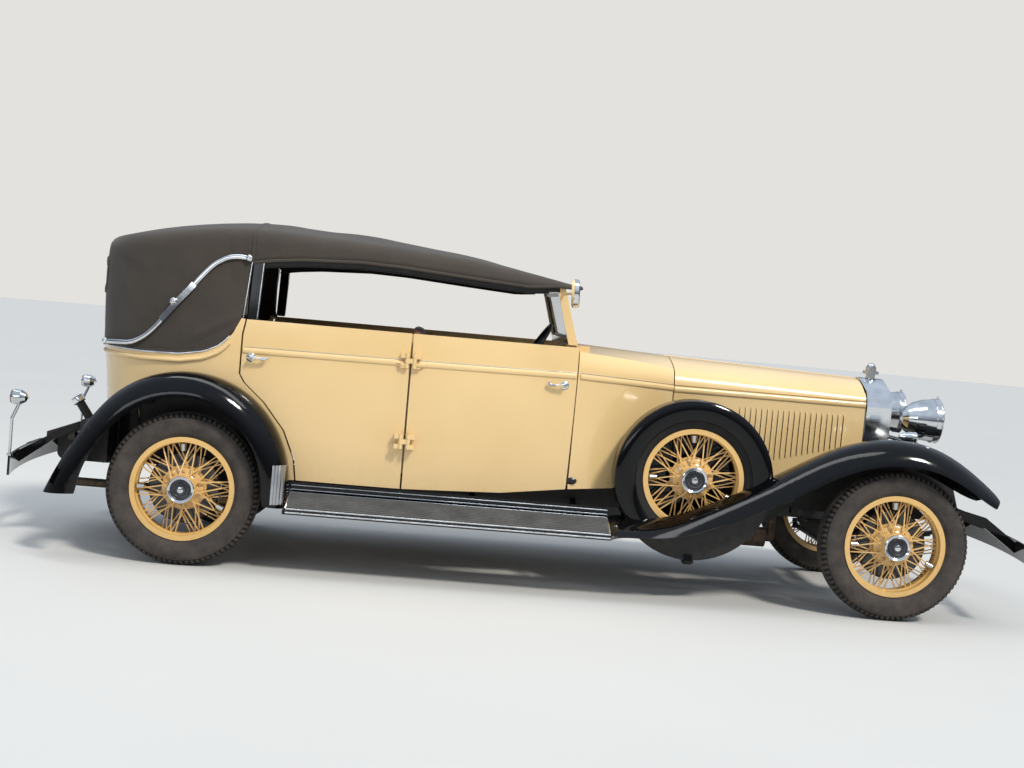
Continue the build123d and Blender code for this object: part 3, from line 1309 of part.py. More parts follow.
SIDE_LAMP_Y = 640
SIDE_LAMP_Z = 990
BUMPER_WALL = 12
FRONT_BUMPER_Z = (352, 448)
REAR_BUMPER_Z = (404, 506)
BUMPER_HALF = 800
BUMPER_SWEEP = 70
PLATE_HOLE_Y = 100
PLATE_HOLE_RADIUS = 4


def bumper_blade(z_range):
    """A shallow curved blade whose middle stands at the front of the car's length."""
    outline = face_of(
        ThreePointArc((HALF_LENGTH - BUMPER_SWEEP, -BUMPER_HALF), (HALF_LENGTH, 0), (HALF_LENGTH - BUMPER_SWEEP, BUMPER_HALF)),
        Line((HALF_LENGTH - BUMPER_SWEEP, BUMPER_HALF), (HALF_LENGTH - BUMPER_SWEEP - BUMPER_WALL, BUMPER_HALF)),
        ThreePointArc((HALF_LENGTH - BUMPER_SWEEP - BUMPER_WALL, BUMPER_HALF), (HALF_LENGTH - BUMPER_WALL, 0),
                      (HALF_LENGTH - BUMPER_SWEEP - BUMPER_WALL, -BUMPER_HALF)),
        Line((HALF_LENGTH - BUMPER_SWEEP - BUMPER_WALL, -BUMPER_HALF), (HALF_LENGTH - BUMPER_SWEEP, -BUMPER_HALF)),
    )
    low, high = z_range
    return extrude(outline, amount=high - low).moved(Location((0, 0, low)))


def plate_holes(end, z):
    """Two bolt holes for a number plate at the middle of a blade; end is +1 front, -1 rear."""
    low, high = end * (HALF_LENGTH - 3 * BUMPER_WALL), end * (HALF_LENGTH + BUMPER_WALL)
    return [rod((low, y, z), (high, y, z), PLATE_HOLE_RADIUS) for y in (-PLATE_HOLE_Y, PLATE_HOLE_Y)]


# Where the bumper arms leave the frame, how far from the blade they bend, and where they meet it
FRONT_ARM_X = 2420
REAR_ARM_X = -2470
ARM_BEND = 185
ARM_SEAT = 29


def make_front_bumper():
    """Front blade on two arms bolted outside the frame horns."""
    bumper = bumper_blade(FRONT_BUMPER_Z)
    tip = HALF_LENGTH - ARM_SEAT
    outside = RAIL_Y + RAIL_WIDTH / 2 + SEAT_GAP
    for low, high in ((outside, outside + 14), (-outside - 14, -outside)):
        bumper += side_profile([
            (FRONT_ARM_X, 560), (FRONT_ARM_X, 600), (tip - ARM_BEND, 560), (tip, 432), (tip, 372), (tip - ARM_BEND, 500),
        ], low, high)
    return bumper - plate_holes(1, sum(FRONT_BUMPER_Z) / 2)


def make_rear_bumper():
    """Rear blade on two arms bolted outside the rear frame horns."""
    blade = mirror(bumper_blade(REAR_BUMPER_Z), about=Plane.YZ)
    tip = HALF_LENGTH - ARM_SEAT
    outside = RAIL_Y + RAIL_WIDTH / 2 + SEAT_GAP
    for low, high in ((outside, outside + 14), (-outside - 14, -outside)):
        blade += side_profile([
            (REAR_ARM_X, 640), (REAR_ARM_X, 680), (ARM_BEND - tip, 610), (-tip, 496), (-tip, 430), (ARM_BEND - tip, 570),
        ], low, high)
    return blade - plate_holes(-1, sum(REAR_BUMPER_Z) / 2)


TAIL_LAMP_X = -2700
TAIL_LAMP_Y = 790
TAIL_LAMP_Z = 815


def make_tail_lamps():
    """Two tail lamps, each on an upright stalk that stands on the rear bumper's blade."""
    lamp = turned_x([(TAIL_LAMP_X - 48, 0), (TAIL_LAMP_X - 44, 30), (TAIL_LAMP_X - 30, 40), (TAIL_LAMP_X + 6, 38),
                     (TAIL_LAMP_X + 30, 24), (TAIL_LAMP_X + 42, 0)])
    lamp = lamp.moved(Location((0, TAIL_LAMP_Y, TAIL_LAMP_Z)))
    foot_x = -(HALF_LENGTH - BUMPER_SWEEP * (TAIL_LAMP_Y / BUMPER_HALF) ** 2 - BUMPER_WALL / 2)
    foot_z = REAR_BUMPER_Z[1] + SEAT_GAP
    lamp += rod((foot_x, TAIL_LAMP_Y, foot_z), (foot_x, TAIL_LAMP_Y, 700), 8)
    lamp += rod((foot_x, TAIL_LAMP_Y, 700), (TAIL_LAMP_X, TAIL_LAMP_Y, 790), 8)
    lamp += Pos(foot_x, TAIL_LAMP_Y, 700) * Sphere(8)
    lamp += rod((foot_x, TAIL_LAMP_Y, foot_z), (foot_x, TAIL_LAMP_Y, foot_z + 10), 15)
    return both_sides(lamp)


# Cabin

def make_front_seat():
    """Bench with a leaning back, as one plain upholstered form."""
    return side_profile([
        (-90, FLOOR_TOP + SEAT_GAP), (-70, 800), (-110, 858), (-520, 838), (-600, 1240), (-640, 1335),
        (-700, 1345), (-716, 1300), (-640, 800), (-600, FLOOR_TOP + SEAT_GAP),
    ], -FRONT_SEAT_HALF, FRONT_SEAT_HALF)


FRONT_SEAT_HALF = 545


def make_rear_seat():
    """Rear bench between the wheel housings."""
    base = SEAT_PAN_Z + SEAT_GAP
    return side_profile([
        (-1080, base), (-1060, 890), (-1110, 935), (-1560, 905), (-1640, 1290), (-1700, 1330),
        (-1760, 1290), (-1700, 900), (-1660, base),
    ], -REAR_SEAT_HALF, REAR_SEAT_HALF)


REAR_SEAT_HALF = 575
STEERING_Y = -368
STEERING_HUB = (-48, STEERING_Y, 1243)
STEERING_RAKE = 31
STEERING_RADIUS = 212


def along_column(distance):
    """A point on the steering column's axis, measured forwards from the wheel's centre."""
    x, y, z = STEERING_HUB
    return (x + distance * cos(radians(STEERING_RAKE)), y, z - distance * sin(radians(STEERING_RAKE)))


def make_steering_column():
    column = rod(along_column(25 + SEAT_GAP), along_column(850), 19)
    middle_x = sum(DASH_X) / 2
    middle_z = STEERING_HUB[2] - (middle_x - STEERING_HUB[0]) * sin(radians(STEERING_RAKE)) / cos(radians(STEERING_RAKE))
    return column + block(DASH_X, (STEERING_Y - 16, STEERING_Y + 16), (middle_z, DASH_Z - SEAT_GAP))


def make_steering_wheel():
    """Rim, four spokes and hub, on the column's raked axis."""
    plane = Plane(origin=STEERING_HUB, z_dir=Vector(*along_column(-1)) - Vector(*STEERING_HUB))
    wheel = Torus(STEERING_RADIUS, 11) + Pos(0, 0, -12) * Cylinder(34, 26)
    for angle in (45, 135, 225, 315):
        wheel += Rot(0, 0, angle) * (Pos(STEERING_RADIUS / 2, 0, -6) * Box(STEERING_RADIUS - 6, 14, 6))
    return plane * wheel


# The whole car, node by node

def on_both_sides(name, left, nodes):
    nodes[name + "_left"] = left
    nodes[name + "_right"] = mirrored(left)


def make_nodes():
    nodes = {
        "chassis_frame": make_chassis_frame(),
        "leaf_springs": make_leaf_springs(),
        "front_axle": make_front_axle(),
        "rear_axle": make_rear_axle(),
        "engine_block": make_engine_block(),
        "exhaust": make_exhaust(),
        "fuel_tank": make_fuel_tank(),
        "tie_rod": make_tie_rod(),
        "body_floor": make_body_floor(),
        "scuttle": make_scuttle(),
        "windscreen_frame": make_windscreen_frame(),
        "windscreen_glass": make_windscreen_glass(),
        "soft_top": make_soft_top(),
        "landau_irons": make_landau_irons(),
        "radiator_shell": make_radiator_shell(),
        "radiator_core": make_radiator_core(),
        "headlamps": make_headlamps(),
        "side_lamps": make_side_lamps(),
        "front_bumper": make_front_bumper(),
        "rear_bumper": make_rear_bumper(),
        "tail_lamps": make_tail_lamps(),
        "front_seat": make_front_seat(),
        "rear_seat": make_rear_seat(),
        "steering_column": make_steering_column(),
        "steering_wheel": make_steering_wheel(),
    }
    wall = tub_wall()
    nodes["rear_body"] = make_rear_body(wall)
    on_both_sides("front_door", make_front_door(wall), nodes)
    on_both_sides("rear_door", make_rear_door(wall), nodes)
    rear_wing = make_rear_wing()
    nodes["front_wings"] = both_sides(make_front_wing())
    nodes["rear_wings"] = both_sides(rear_wing)
    nodes["running_boards"] = both_sides(make_running_board(rear_wing))
    nodes["spare_covers"] = both_sides(make_spare_cover())
    on_both_sides("bonnet_top", make_bonnet_top(), nodes)
    on_both_sides("bonnet_side", make_bonnet_side(), nodes)
    knuckle = make_knuckle()
    tyre = make_tyre()
    wire_wheel = make_wheel()
    road_wheel = wire_wheel + make_drum()
    nodes["spare_tyres"] = spare_copies(tyre)
    nodes["spare_wheels"] = spare_copies(wire_wheel)
    for side, y in (("left", WHEEL_Y), ("right", -WHEEL_Y)):
        nodes["knuckle_" + side] = at_wheel(knuckle, FRONT_AXLE_X, y)
        for end, x in (("front", FRONT_AXLE_X), ("rear", REAR_AXLE_X)):
            nodes["tyre_" + end + "_" + side] = at_wheel(tyre, x, y)
            nodes["wheel_" + end + "_" + side] = at_wheel(road_wheel, x, y)
    return nodes


os.makedirs("parts", exist_ok=True)
for node_name, node_shape in make_nodes().items():
    export_step(node_shape, "parts/" + node_name + ".step")
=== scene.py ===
"""Looks for a four-door open tourer with its cloth top raised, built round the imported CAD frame."""

import math

import bmesh
import bpy
from mathutils import Matrix, Vector
from mathutils import noise as value_noise
from mathutils.bvhtree import BVHTree


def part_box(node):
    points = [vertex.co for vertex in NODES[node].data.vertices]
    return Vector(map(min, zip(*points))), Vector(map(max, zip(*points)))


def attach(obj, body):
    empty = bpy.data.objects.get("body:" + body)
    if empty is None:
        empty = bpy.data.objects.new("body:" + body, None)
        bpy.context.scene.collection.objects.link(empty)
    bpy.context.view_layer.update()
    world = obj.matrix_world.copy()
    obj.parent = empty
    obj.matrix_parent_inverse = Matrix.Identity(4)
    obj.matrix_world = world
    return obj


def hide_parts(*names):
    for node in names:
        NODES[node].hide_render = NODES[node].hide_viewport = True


bl_info = {
    "name": "Cloth-topped tourer",
    "version": (1, 0, 0),
    "blender": (4, 5, 0),
    "location": "View3D > Sidebar > Tourer",
    "description": "Coachwork, cloth, wire wheels and trim for a four-door open tourer",
    "category": "Object",
}

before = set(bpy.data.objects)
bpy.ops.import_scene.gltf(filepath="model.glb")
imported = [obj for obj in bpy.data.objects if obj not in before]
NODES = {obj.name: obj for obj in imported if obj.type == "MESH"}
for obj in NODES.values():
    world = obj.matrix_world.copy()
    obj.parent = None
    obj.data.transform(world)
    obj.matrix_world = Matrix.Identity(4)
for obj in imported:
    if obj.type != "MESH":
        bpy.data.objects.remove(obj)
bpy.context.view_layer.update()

MM = 0.001
SIDES = (("left", 1), ("right", -1))
CORNERS = [end + "_" + side for end in ("front", "rear") for side, _ in SIDES]
# Middles of the road wheels and of the left spare, in metres
WHEEL_X = {"front": 1.98, "rear": -1.83}
WHEEL_Y = 0.743
WHEEL_Z = 0.405
SPARE = (0.877, 0.640, 0.666)
# The brake drum: its radius, and how far out from the car's middle its face stands
DRUM_EDGE = 0.1975
DRUM_FACE = 0.7285
# Smooth pieces keep an edge that is sharper than this, in degrees
SHARP_EDGE = 38
# Rays towards the coachwork's skin start this far from the car's middle
RAY_START = 1.6


# Colours and materials

def srgb(colour):
    """An sRGB hex colour turned to the linear values of the shaders; a panel's colour is linear already."""
    if not isinstance(colour, str):
        return (*colour, 1.0)
    values = [int(colour[i:i + 2], 16) / 255 for i in (1, 3, 5)]
    return tuple(v / 12.92 if v <= 0.04045 else ((v + 0.055) / 1.055) ** 2.4 for v in values) + (1.0,)


def add_node(tree, kind, inputs=None, stops=(), **settings):
    """One node with its settings, inputs by name or number, and a ramp's stops as (place, colour).

    An input takes a value, another node's socket, or a node, which lends its first output.
    """
    node = tree.nodes.new(kind)
    for key, value in settings.items():
        setattr(node, key, value)
    for name, value in (inputs or {}).items():
        if isinstance(value, bpy.types.Node):
            value = value.outputs[0]
        if isinstance(value, bpy.types.NodeSocket):
            tree.links.new(value, node.inputs[name])
        else:
            node.inputs[name].default_value = value
    if stops:
        elements = node.color_ramp.elements
        while len(elements) < len(stops):
            elements.new(0.5)
        for element, (place, colour) in zip(elements, stops):
            element.position = place
            element.color = srgb(colour)
    return node


NOISE = "ShaderNodeTexNoise"
# A colour mix takes its two colours at these inputs, and gives one at this output
MIX_FIRST = 6
MIX_SECOND = 7
MIXED = 2


def waves(where, size, detail=3.0, roughness=0.5):
    """The inputs of fractal noise whose waves are size millimetres wide."""
    return {"Vector": where, "Scale": 1 / (size * MM), "Detail": detail, "Roughness": roughness}


def drifting(name, drift, low, high, surface, grain=None):
    """A material whose colour drifts between two shades, over a surface that a finer grain raises.

    drift holds a noise's numbers, its waves' width in mm first, low and high are (place, colour) on
    its ramp, surface holds the shader's inputs, and grain is (a noise's numbers, strength, height in
    metres).
    """
    material = bpy.data.materials.new(name)
    material.use_nodes = True
    tree = material.node_tree
    tree.nodes.clear()
    where = add_node(tree, "ShaderNodeTexCoord").outputs["Object"]
    tone = add_node(tree, "ShaderNodeValToRGB", {"Fac": add_node(tree, NOISE, waves(where, *drift))},
                    [low, high])
    shader = add_node(tree, "ShaderNodeBsdfPrincipled", {"Base Color": tone, **surface})
    if grain:
        numbers, strength, distance = grain
        raised = add_node(tree, "ShaderNodeBump", {"Height": add_node(tree, NOISE, waves(where, *numbers)),
                                                   "Strength": strength, "Distance": distance})
        tree.links.new(raised.outputs["Normal"], shader.inputs["Normal"])
    add_node(tree, "ShaderNodeOutputMaterial", {"Surface": shader})
    return material, tree, shader, where


def coach_paint(name, colour, shade, dirt, gloss=0.16, coat=0.5, mirror=0.5):
    """Sprayed or stoved enamel, polished: clear gloss, orange-peel ripple and road dust low down."""
    # orange peel: ripples about 6 mm across, a few hundredths of a millimetre high
    material, tree, shader, where = drifting(
        name, (625, 4), (0.3, shade), (0.7, colour),
        {"Coat Weight": coat, "Coat Roughness": 0.06, "Specular IOR Level": mirror, "IOR": 1.5},
        ((6.25, 2), 0.12, 0.00005))
    split = add_node(tree, "ShaderNodeSeparateXYZ", {"Vector": where})
    # dust is thickest below 0.28 m and gone at 0.72 m above the road
    low = add_node(tree, "ShaderNodeMapRange", {"Value": split.outputs["Z"], "From Min": 0.28,
                                                "From Max": 0.72, "To Min": 0.5, "To Max": 0.0})
    specks = add_node(tree, NOISE, waves(where, 26.3, 5, 0.65))
    amount = add_node(tree, "ShaderNodeMath", {0: low, 1: specks}, operation="MULTIPLY")
    clean = shader.inputs["Base Color"].links[0].from_socket
    dusty = add_node(tree, "ShaderNodeMix", {"Factor": amount, MIX_FIRST: clean, MIX_SECOND: srgb(dirt)},
                     data_type="RGBA")
    tree.links.new(dusty.outputs[MIXED], shader.inputs["Base Color"])
    polish = add_node(tree, NOISE, waves(where, 71.4, 4))
    rough = add_node(tree, "ShaderNodeMapRange", {"Value": polish, "To Min": gloss, "To Max": gloss + 0.10})
    tree.links.new(rough.outputs["Result"], shader.inputs["Roughness"])
    return material, tree, shader, where


def wheel_enamel(name, colour, shade, dirt, drum):
    """Wheel enamel; within the brake drum's radius and behind its face the colour is near black, found by its
    place.
    """
    material, tree, shader, where = coach_paint(name, colour, shade, dirt)
    found = dict(zip("xyz", add_node(tree, "ShaderNodeSeparateXYZ", {"Vector": where}).outputs))
    middle = (WHEEL_X["front"] + WHEEL_X["rear"]) / 2
    half_base = (WHEEL_X["front"] - WHEEL_X["rear"]) / 2
    for result, operation, *values in (
            ("x", "SUBTRACT", "x", middle), ("x", "ABSOLUTE", "x"), ("x", "SUBTRACT", "x", half_base),
            ("z", "SUBTRACT", "z", WHEEL_Z), ("xx", "MULTIPLY", "x", "x"), ("zz", "MULTIPLY", "z", "z"),
            ("rr", "ADD", "xx", "zz"), ("r", "SQRT", "rr"), ("inside", "LESS_THAN", "r", DRUM_EDGE),
            ("y", "ABSOLUTE", "y"), ("behind", "LESS_THAN", "y", DRUM_FACE),
            ("drum", "MULTIPLY", "inside", "behind")):
        inputs = {place: found.get(value, value) for place, value in enumerate(values)}
        found[result] = add_node(tree, "ShaderNodeMath", inputs, operation=operation)
    base = shader.inputs["Base Color"].links[0].from_socket
    dark = add_node(tree, "ShaderNodeMix", {"Factor": found["drum"], MIX_FIRST: base, MIX_SECOND: srgb(drum)},
                    data_type="RGBA")
    tree.links.new(dark.outputs[MIXED], shader.inputs["Base Color"])
    return material


def plated_metal(name, colour="#E4E6E8", rough=0.07):
    """Plated or rolled bright metal: mirror bright when rough is low, with faint wiping marks."""
    material, tree, shader, where = drifting(
        name, (111, 4), (0.25, "#B9BCBF"), (0.6, colour), {"Metallic": 1.0})
    wiped = add_node(tree, NOISE, waves(where, 33.3, 6, 0.7))
    marks = add_node(tree, "ShaderNodeMapRange", {"Value": wiped, "To Min": rough, "To Max": rough + 0.10})
    tree.links.new(marks.outputs["Result"], shader.inputs["Roughness"])
    return material


def cast_metal(name, colour, shade, rough, metallic):
    """Cast, forged or moulded surface: pebbled, half matt, metal or not."""
    # the grit of a sand mould: about 2.4 mm, and 0.3 mm high
    return drifting(name, (45.5, 6, 0.65), (0.35, shade), (0.65, colour),
                    {"Metallic": metallic, "Roughness": rough}, ((2.38, 3), 0.35, 0.0003))[0]


def hood_cloth(name, colour, shade, thread):
    """Woven cloth, weathered; thread is its spacing in mm, drawn coarser than the real one so it shows."""
    material, tree, shader, where = drifting(
        name, (312.5, 6, 0.6), (0.30, shade), (0.72, colour),
        {"Roughness": 0.86, "Sheen Weight": 0.12, "Sheen Roughness": 0.5})
    threads = []
    for rotation in ((0.0, 0.0, 0.0), (0.0, math.pi / 2, 0.0)):
        turn = add_node(tree, "ShaderNodeMapping", {"Vector": where, "Rotation": rotation})
        # a wave texture's bands lie 2 pi / 20 of a metre apart at a scale of 1
        threads.append(add_node(tree, "ShaderNodeTexWave", {
            "Vector": turn, "Scale": math.pi / (10 * thread * MM), "Distortion": 0.4}).outputs["Fac"])
    weft = add_node(tree, "ShaderNodeMath", dict(enumerate(threads)), operation="MULTIPLY")
    fine = add_node(tree, NOISE, waves(where, 18.2, 4, 0.7))
    fresh = shader.inputs["Base Color"].links[0].from_socket
    faded = add_node(tree, "ShaderNodeMix", {"Factor": fine, MIX_FIRST: fresh, MIX_SECOND: srgb(colour)},
                     data_type="RGBA")
    tree.links.new(faded.outputs[MIXED], shader.inputs["Base Color"])
    height = add_node(tree, "ShaderNodeMath", {0: weft, 1: 0.5, 2: fine}, operation="MULTIPLY_ADD")
    raised = add_node(tree, "ShaderNodeBump", {"Height": height, "Strength": 0.45, "Distance": 0.0008})
    tree.links.new(raised.outputs["Normal"], shader.inputs["Normal"])
    return material


def tyre_compound(name, colour, dust):
    """Cured black rubber, dulled brown by dry road dust."""
    return drifting(name, (90.9, 7, 0.7), (0.34, colour), (0.66, dust), {"Roughness": 0.82, "IOR": 1.52},
                    ((3.85, 4, 0.6), 0.3, 0.0005))[0]


def hide(name, colour, shade):
    """Upholstery hide: fine pebbled grain, darker where hands and backs polish it."""
    material, tree, shader, where = drifting(
        name, (166.7, 5, 0.6), (0.3, shade), (0.7, colour), {"Roughness": 0.46})
    # a pebble of the grain is 2.38 mm wide
    cells = add_node(tree, "ShaderNodeTexVoronoi", {"Vector": where, "Scale": 1 / (2.38 * MM)})
    raised = add_node(tree, "ShaderNodeBump", {"Height": cells.outputs["Distance"], "Strength": 0.5,
                                               "Distance": 0.0006})
    tree.links.new(raised.outputs["Normal"], shader.inputs["Normal"])
    return material


def clear_glass(name, tint, rough=0.02):
    """Plate or moulded glass: see-through, in its tint; moulding makes it rougher."""
    return drifting(name, (250, 3), (0.3, tint), (0.7, "#FFFFFF"),
                    {"Transmission Weight": 1.0, "Roughness": rough, "IOR": 1.45})[0]


def moulded_rubber(name, colour, shade):
    """Moulded matting: matt, chalky with dust in the grooves."""
    return drifting(name, (125, 7, 0.7), (0.32, shade), (0.68, colour), {"Roughness": 0.74},
                    ((3.33, 3), 0.25, 0.0004))[0]


def make_materials():
    """Every finish on the car, by name."""
    colours = bpy.context.scene.tourer_colours
    return {
        # sprayed and polished: an even, warm gloss that dulls towards the sills
        "cream": coach_paint("cellulose_enamel_cream", colours.coachwork, "#E4C288", "#A58B62")[0],
        # baked on steel: deep and wet, with narrow highlights
        "black": coach_paint("stove_enamel_black", colours.wings, "#040405", "#15130F", 0.05, 0.10, 0.26)[0],
        # thin paint over scale: half matt, browned by dust
        "chassis": cast_metal("forged_steel_painted", "#1B1B1C", "#2B2825", 0.55, 0.2),
        # bare sand casting: grey and dull
        "engine": cast_metal("cast_iron_block", "#4C4E50", "#35373A", 0.6, 0.4),
        # rolled pipe, browned by heat
        "exhaust": cast_metal("mild_steel_heat_browned", "#6A5847", "#453A31", 0.6, 0.6),
        # polished plate on brass: a cool mirror
        "chrome": plated_metal("chromium_plate"),
        # older plate: warmer, and soft in its reflections
        "nickel": plated_metal("dull_nickel_plate", "#C9C8C3", 0.20),
        # rubbered twill: matt, greyed by weather
        "cloth": hood_cloth("double_texture_hood_cloth", colours.hood, "#241F1B", 7.0),
        # moulded tyre rubber, brown with dust
        "tyre": tyre_compound("vulcanised_rubber", "#2D2926", "#4A423C"),
        # the same rubber, clean under its cover and drawn darker as painted shade; also the painted shade on
        # the tread floors
        "spare_tyre": tyre_compound("vulcanised_rubber_clean_and_shaded", "#121110", "#1E1C1A"),
        # baked on spokes and rim: a yellower cream than the body
        "wheel": wheel_enamel("stove_enamel_cream", colours.wheels, "#DEB167", "#A8834C", "#1A1817"),
        # plate drawn dark grey in the rings of the hub cap's disc: a painted dark reflection
        "cap_face": cast_metal("nickel_plate_painted_reflection", "#5E5F63", "#47484B", 0.24, 0.9),
        # dyed and waxed hide: a soft shine on its grain
        "hide": hide("vat_dyed_hide_brown", colours.upholstery, "#4A2B1A"),
        # polished plate: clear, faintly green
        "glass": clear_glass("plate_glass", "#E9F2EE"),
        # moulded: clear, with softened highlights
        "lens": clear_glass("moulded_lamp_glass", "#F2F5F2", 0.08),
        # dyed in the melt
        "red": clear_glass("ruby_lamp_glass", "#B00A0A", 0.12),
        # moulded matting: matt and chalky
        "rubber": moulded_rubber("ribbed_rubber_mat", "#565654", "#3E3E3D"),
        # turned and buffed hard rubber: near black, a low shine
        "bakelite": cast_metal("hard_rubber_black", "#121212", "#1C1A19", 0.28, 0.0),
        # blackened strip in the radiator's face
        "fins": cast_metal("shutter_steel_dark", "#2A2B2C", "#1A1B1C", 0.4, 0.7),
        # looped wool pile
        "carpet": hood_cloth("loop_pile_carpet", "#3A2E25", "#2A211A", 8.0),
        # rolled sheet: bright but soft
        "aluminium": plated_metal("rolled_aluminium", "#C4C6C8", 0.28),
    }


MATERIALS = {}

NODE_FINISH = {
    "chassis": ["chassis_frame", "leaf_springs", "front_axle", "rear_axle", "tie_rod", "fuel_tank",
                "knuckle_left", "knuckle_right", "steering_column"],
    "engine": ["engine_block"],
    "exhaust": ["exhaust"],
    "black": ["front_wings", "rear_wings", "spare_covers", "front_bumper", "rear_bumper", "running_boards"],
    "cream": ["body_floor", "scuttle", "rear_body", "windscreen_frame",
              *(panel + side for panel in ("front_door_", "rear_door_", "bonnet_top_", "bonnet_side_")
                for side, _ in SIDES)],
    "chrome": ["landau_irons", "radiator_shell", "headlamps", "side_lamps", "tail_lamps"],
    "fins": ["radiator_core"],
    "glass": ["windscreen_glass"],
    "bakelite": ["steering_wheel"],
    "wheel": ["spare_wheels", *("wheel_" + corner for corner in CORNERS)],
    "tyre": ["spare_tyres", *("tyre_" + corner for corner in CORNERS)],
    "cloth": ["soft_top"],
    "hide": ["front_seat", "rear_seat"],
}


# Mesh helpers

def finish_piece(name, vertices, faces, finish, body, smooth=True, replaced=()):
    """A named piece at the origin with its place in its mesh, outward faces, a finish and a body."""
    mesh = bpy.data.meshes.new(name)
    mesh.from_pydata([tuple(v) for v in vertices], [], faces)
    work = bmesh.new()
    work.from_mesh(mesh)
    bmesh.ops.remove_doubles(work, verts=work.verts, dist=1e-5)
    bmesh.ops.recalc_face_normals(work, faces=work.faces)
    work.to_mesh(mesh)
    work.free()
    for polygon in mesh.polygons:
        polygon.use_smooth = smooth
    if smooth:
        mesh.set_sharp_from_angle(angle=math.radians(SHARP_EDGE))
    piece = bpy.data.objects.new(name, mesh)
    bpy.context.scene.collection.objects.link(piece)
    return settle(piece, finish, body, replaced)


def settle(piece, finish, body, replaced=()):
    """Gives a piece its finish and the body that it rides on."""
    piece.data.materials.clear()
    piece.data.materials.append(MATERIALS[finish])
    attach(piece, body)
    if replaced:
        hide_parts(*replaced)
    return piece


class Shape:
    """Collects vertices and faces of several parts of one piece."""

    def __init__(self):
        self.vertices = []
        self.faces = []

    def add(self, vertices, faces):
        """Adds vertices and the faces over them."""
        start = len(self.vertices)
        self.vertices += [Vector(v) for v in vertices]
        self.faces += [tuple(start + i for i in face) for face in faces]

    def grid(self, rows, closed_across=False, closed_along=False, caps=False):
        """Faces over rows of points; each row is across, the rows follow one another along."""
        start = len(self.vertices)
        count = len(rows[0])
        for row in rows:
            self.vertices += [Vector(p) for p in row]
        last_row = len(rows) if closed_along else len(rows) - 1
        last = count if closed_across else count - 1
        for i in range(last_row):
            for j in range(last):
                a, b = start + i * count, start + ((i + 1) % len(rows)) * count
                self.faces.append((a + j, a + (j + 1) % count, b + (j + 1) % count, b + j))
        if caps and closed_across:
            self.faces.append(tuple(start + j for j in range(count))[::-1])
            self.faces.append(tuple(start + (len(rows) - 1) * count + j for j in range(count)))

    def turned(self, profile, centre, axis, segments, flip=1):
        """Turns (along, radius) points about an axis through centre; ends on the axis close."""
        rows = []
        for along, radius in profile:
            row = []
            for a in ring_angles(segments):
                p, q = radius * math.cos(a), radius * math.sin(a)
                reach = along * flip
                offset = {"X": (reach, p, q), "Y": (q, reach, p), "Z": (p, q, reach)}[axis]
                row.append(Vector(centre) + Vector(offset))
            rows.append(row)
        self.grid(rows, closed_across=True)

    def tube(self, points, section, up=(0, 0, 1), closed=False, caps=True, ups=None):
        """Sweeps a closed (sideways, upwards) section along points."""
        points = [Vector(p) for p in points]
        rows = []
        for index, point in enumerate(points):
            ahead = points[(index + 1) % len(points)] if closed or index + 1 < len(points) else point
            behind = points[index - 1] if closed or index else point
            along = (ahead - behind).normalized()
            upward = Vector(ups[index]) if ups else Vector(up)
            side = along.cross(upward).normalized()
            true_up = side.cross(along).normalized()
            rows.append([point + side * a + true_up * b for a, b in section])
        self.grid(rows, closed_across=True, closed_along=closed, caps=caps and not closed)

    def piece(self, name, finish, body, smooth=True, replaced=()):
        """The shape as a finished piece."""
        return finish_piece(name, self.vertices, self.faces, finish, body, smooth, replaced)


def loft(rows, name, finish, body="car", smooth=True, replaced=()):
    """A closed piece over rows of points, capped at both ends."""
    shape = Shape()
    shape.grid(rows, closed_across=True, caps=True)
    return shape.piece(name, finish, body, smooth, replaced)


def turned_piece(name, finish, profile, centre, axis, segments, flip=1, body="car"):
    """A piece turned from one profile."""
    shape = Shape()
    shape.turned(profile, centre, axis, segments, flip)
    return shape.piece(name, finish, body)


def ring_angles(count):
    """Equal steps once round."""
    return [2 * math.pi * k / count for k in range(count)]


def round_section(radius, sides=12, flatten=1.0):
    """A round or flattened section for a tube."""
    return [(radius * math.cos(a), radius * flatten * math.sin(a)) for a in ring_angles(sides)]


def surface_of(*names):
    """A ray-cast tree over CAD nodes, at rest."""
    vertices, faces = [], []
    for name in names:
        mesh = NODES[name].data
        start = len(vertices)
        vertices += [v.co.copy() for v in mesh.vertices]
        faces += [tuple(start + i for i in p.vertices) for p in mesh.polygons]
    return BVHTree.FromPolygons(vertices, faces)


def skin(tree, x, z, side):
    """Where a ray from outside meets the surface at (x, z) on one side: (point, normal), or None."""
    hit, normal, _, _ = tree.ray_cast(Vector((x, side * RAY_START, z)), Vector((0, -side, 0)))
    return None if hit is None else (hit, normal)


def between(table, x):
    """Linear look-up in (x, value) rows that run either way."""
    rows = sorted(table)
    if x <= rows[0][0]:
        return rows[0][1]
    for (x0, v0), (x1, v1) in zip(rows, rows[1:]):
        if x <= x1:
            return v0 + (v1 - v0) * (x - x0) / (x1 - x0)
    return rows[-1][1]


def spread(low, high, count):
    """Equal steps from low to high, both included."""
    return [low + (high - low) * k / (count - 1) for k in range(count)]


# Geometry Nodes helpers

def node_tree(name, inputs):
    """An empty geometry tree with named inputs, each (name, socket kind)."""
    tree = bpy.data.node_groups.new(name, "GeometryNodeTree")
    tree.interface.new_socket("Geometry", in_out="OUTPUT", socket_type="NodeSocketGeometry")
    for label, kind in inputs:
        tree.interface.new_socket(label, in_out="INPUT", socket_type=kind)
    return tree, tree.nodes.new("NodeGroupInput"), tree.nodes.new("NodeGroupOutput")


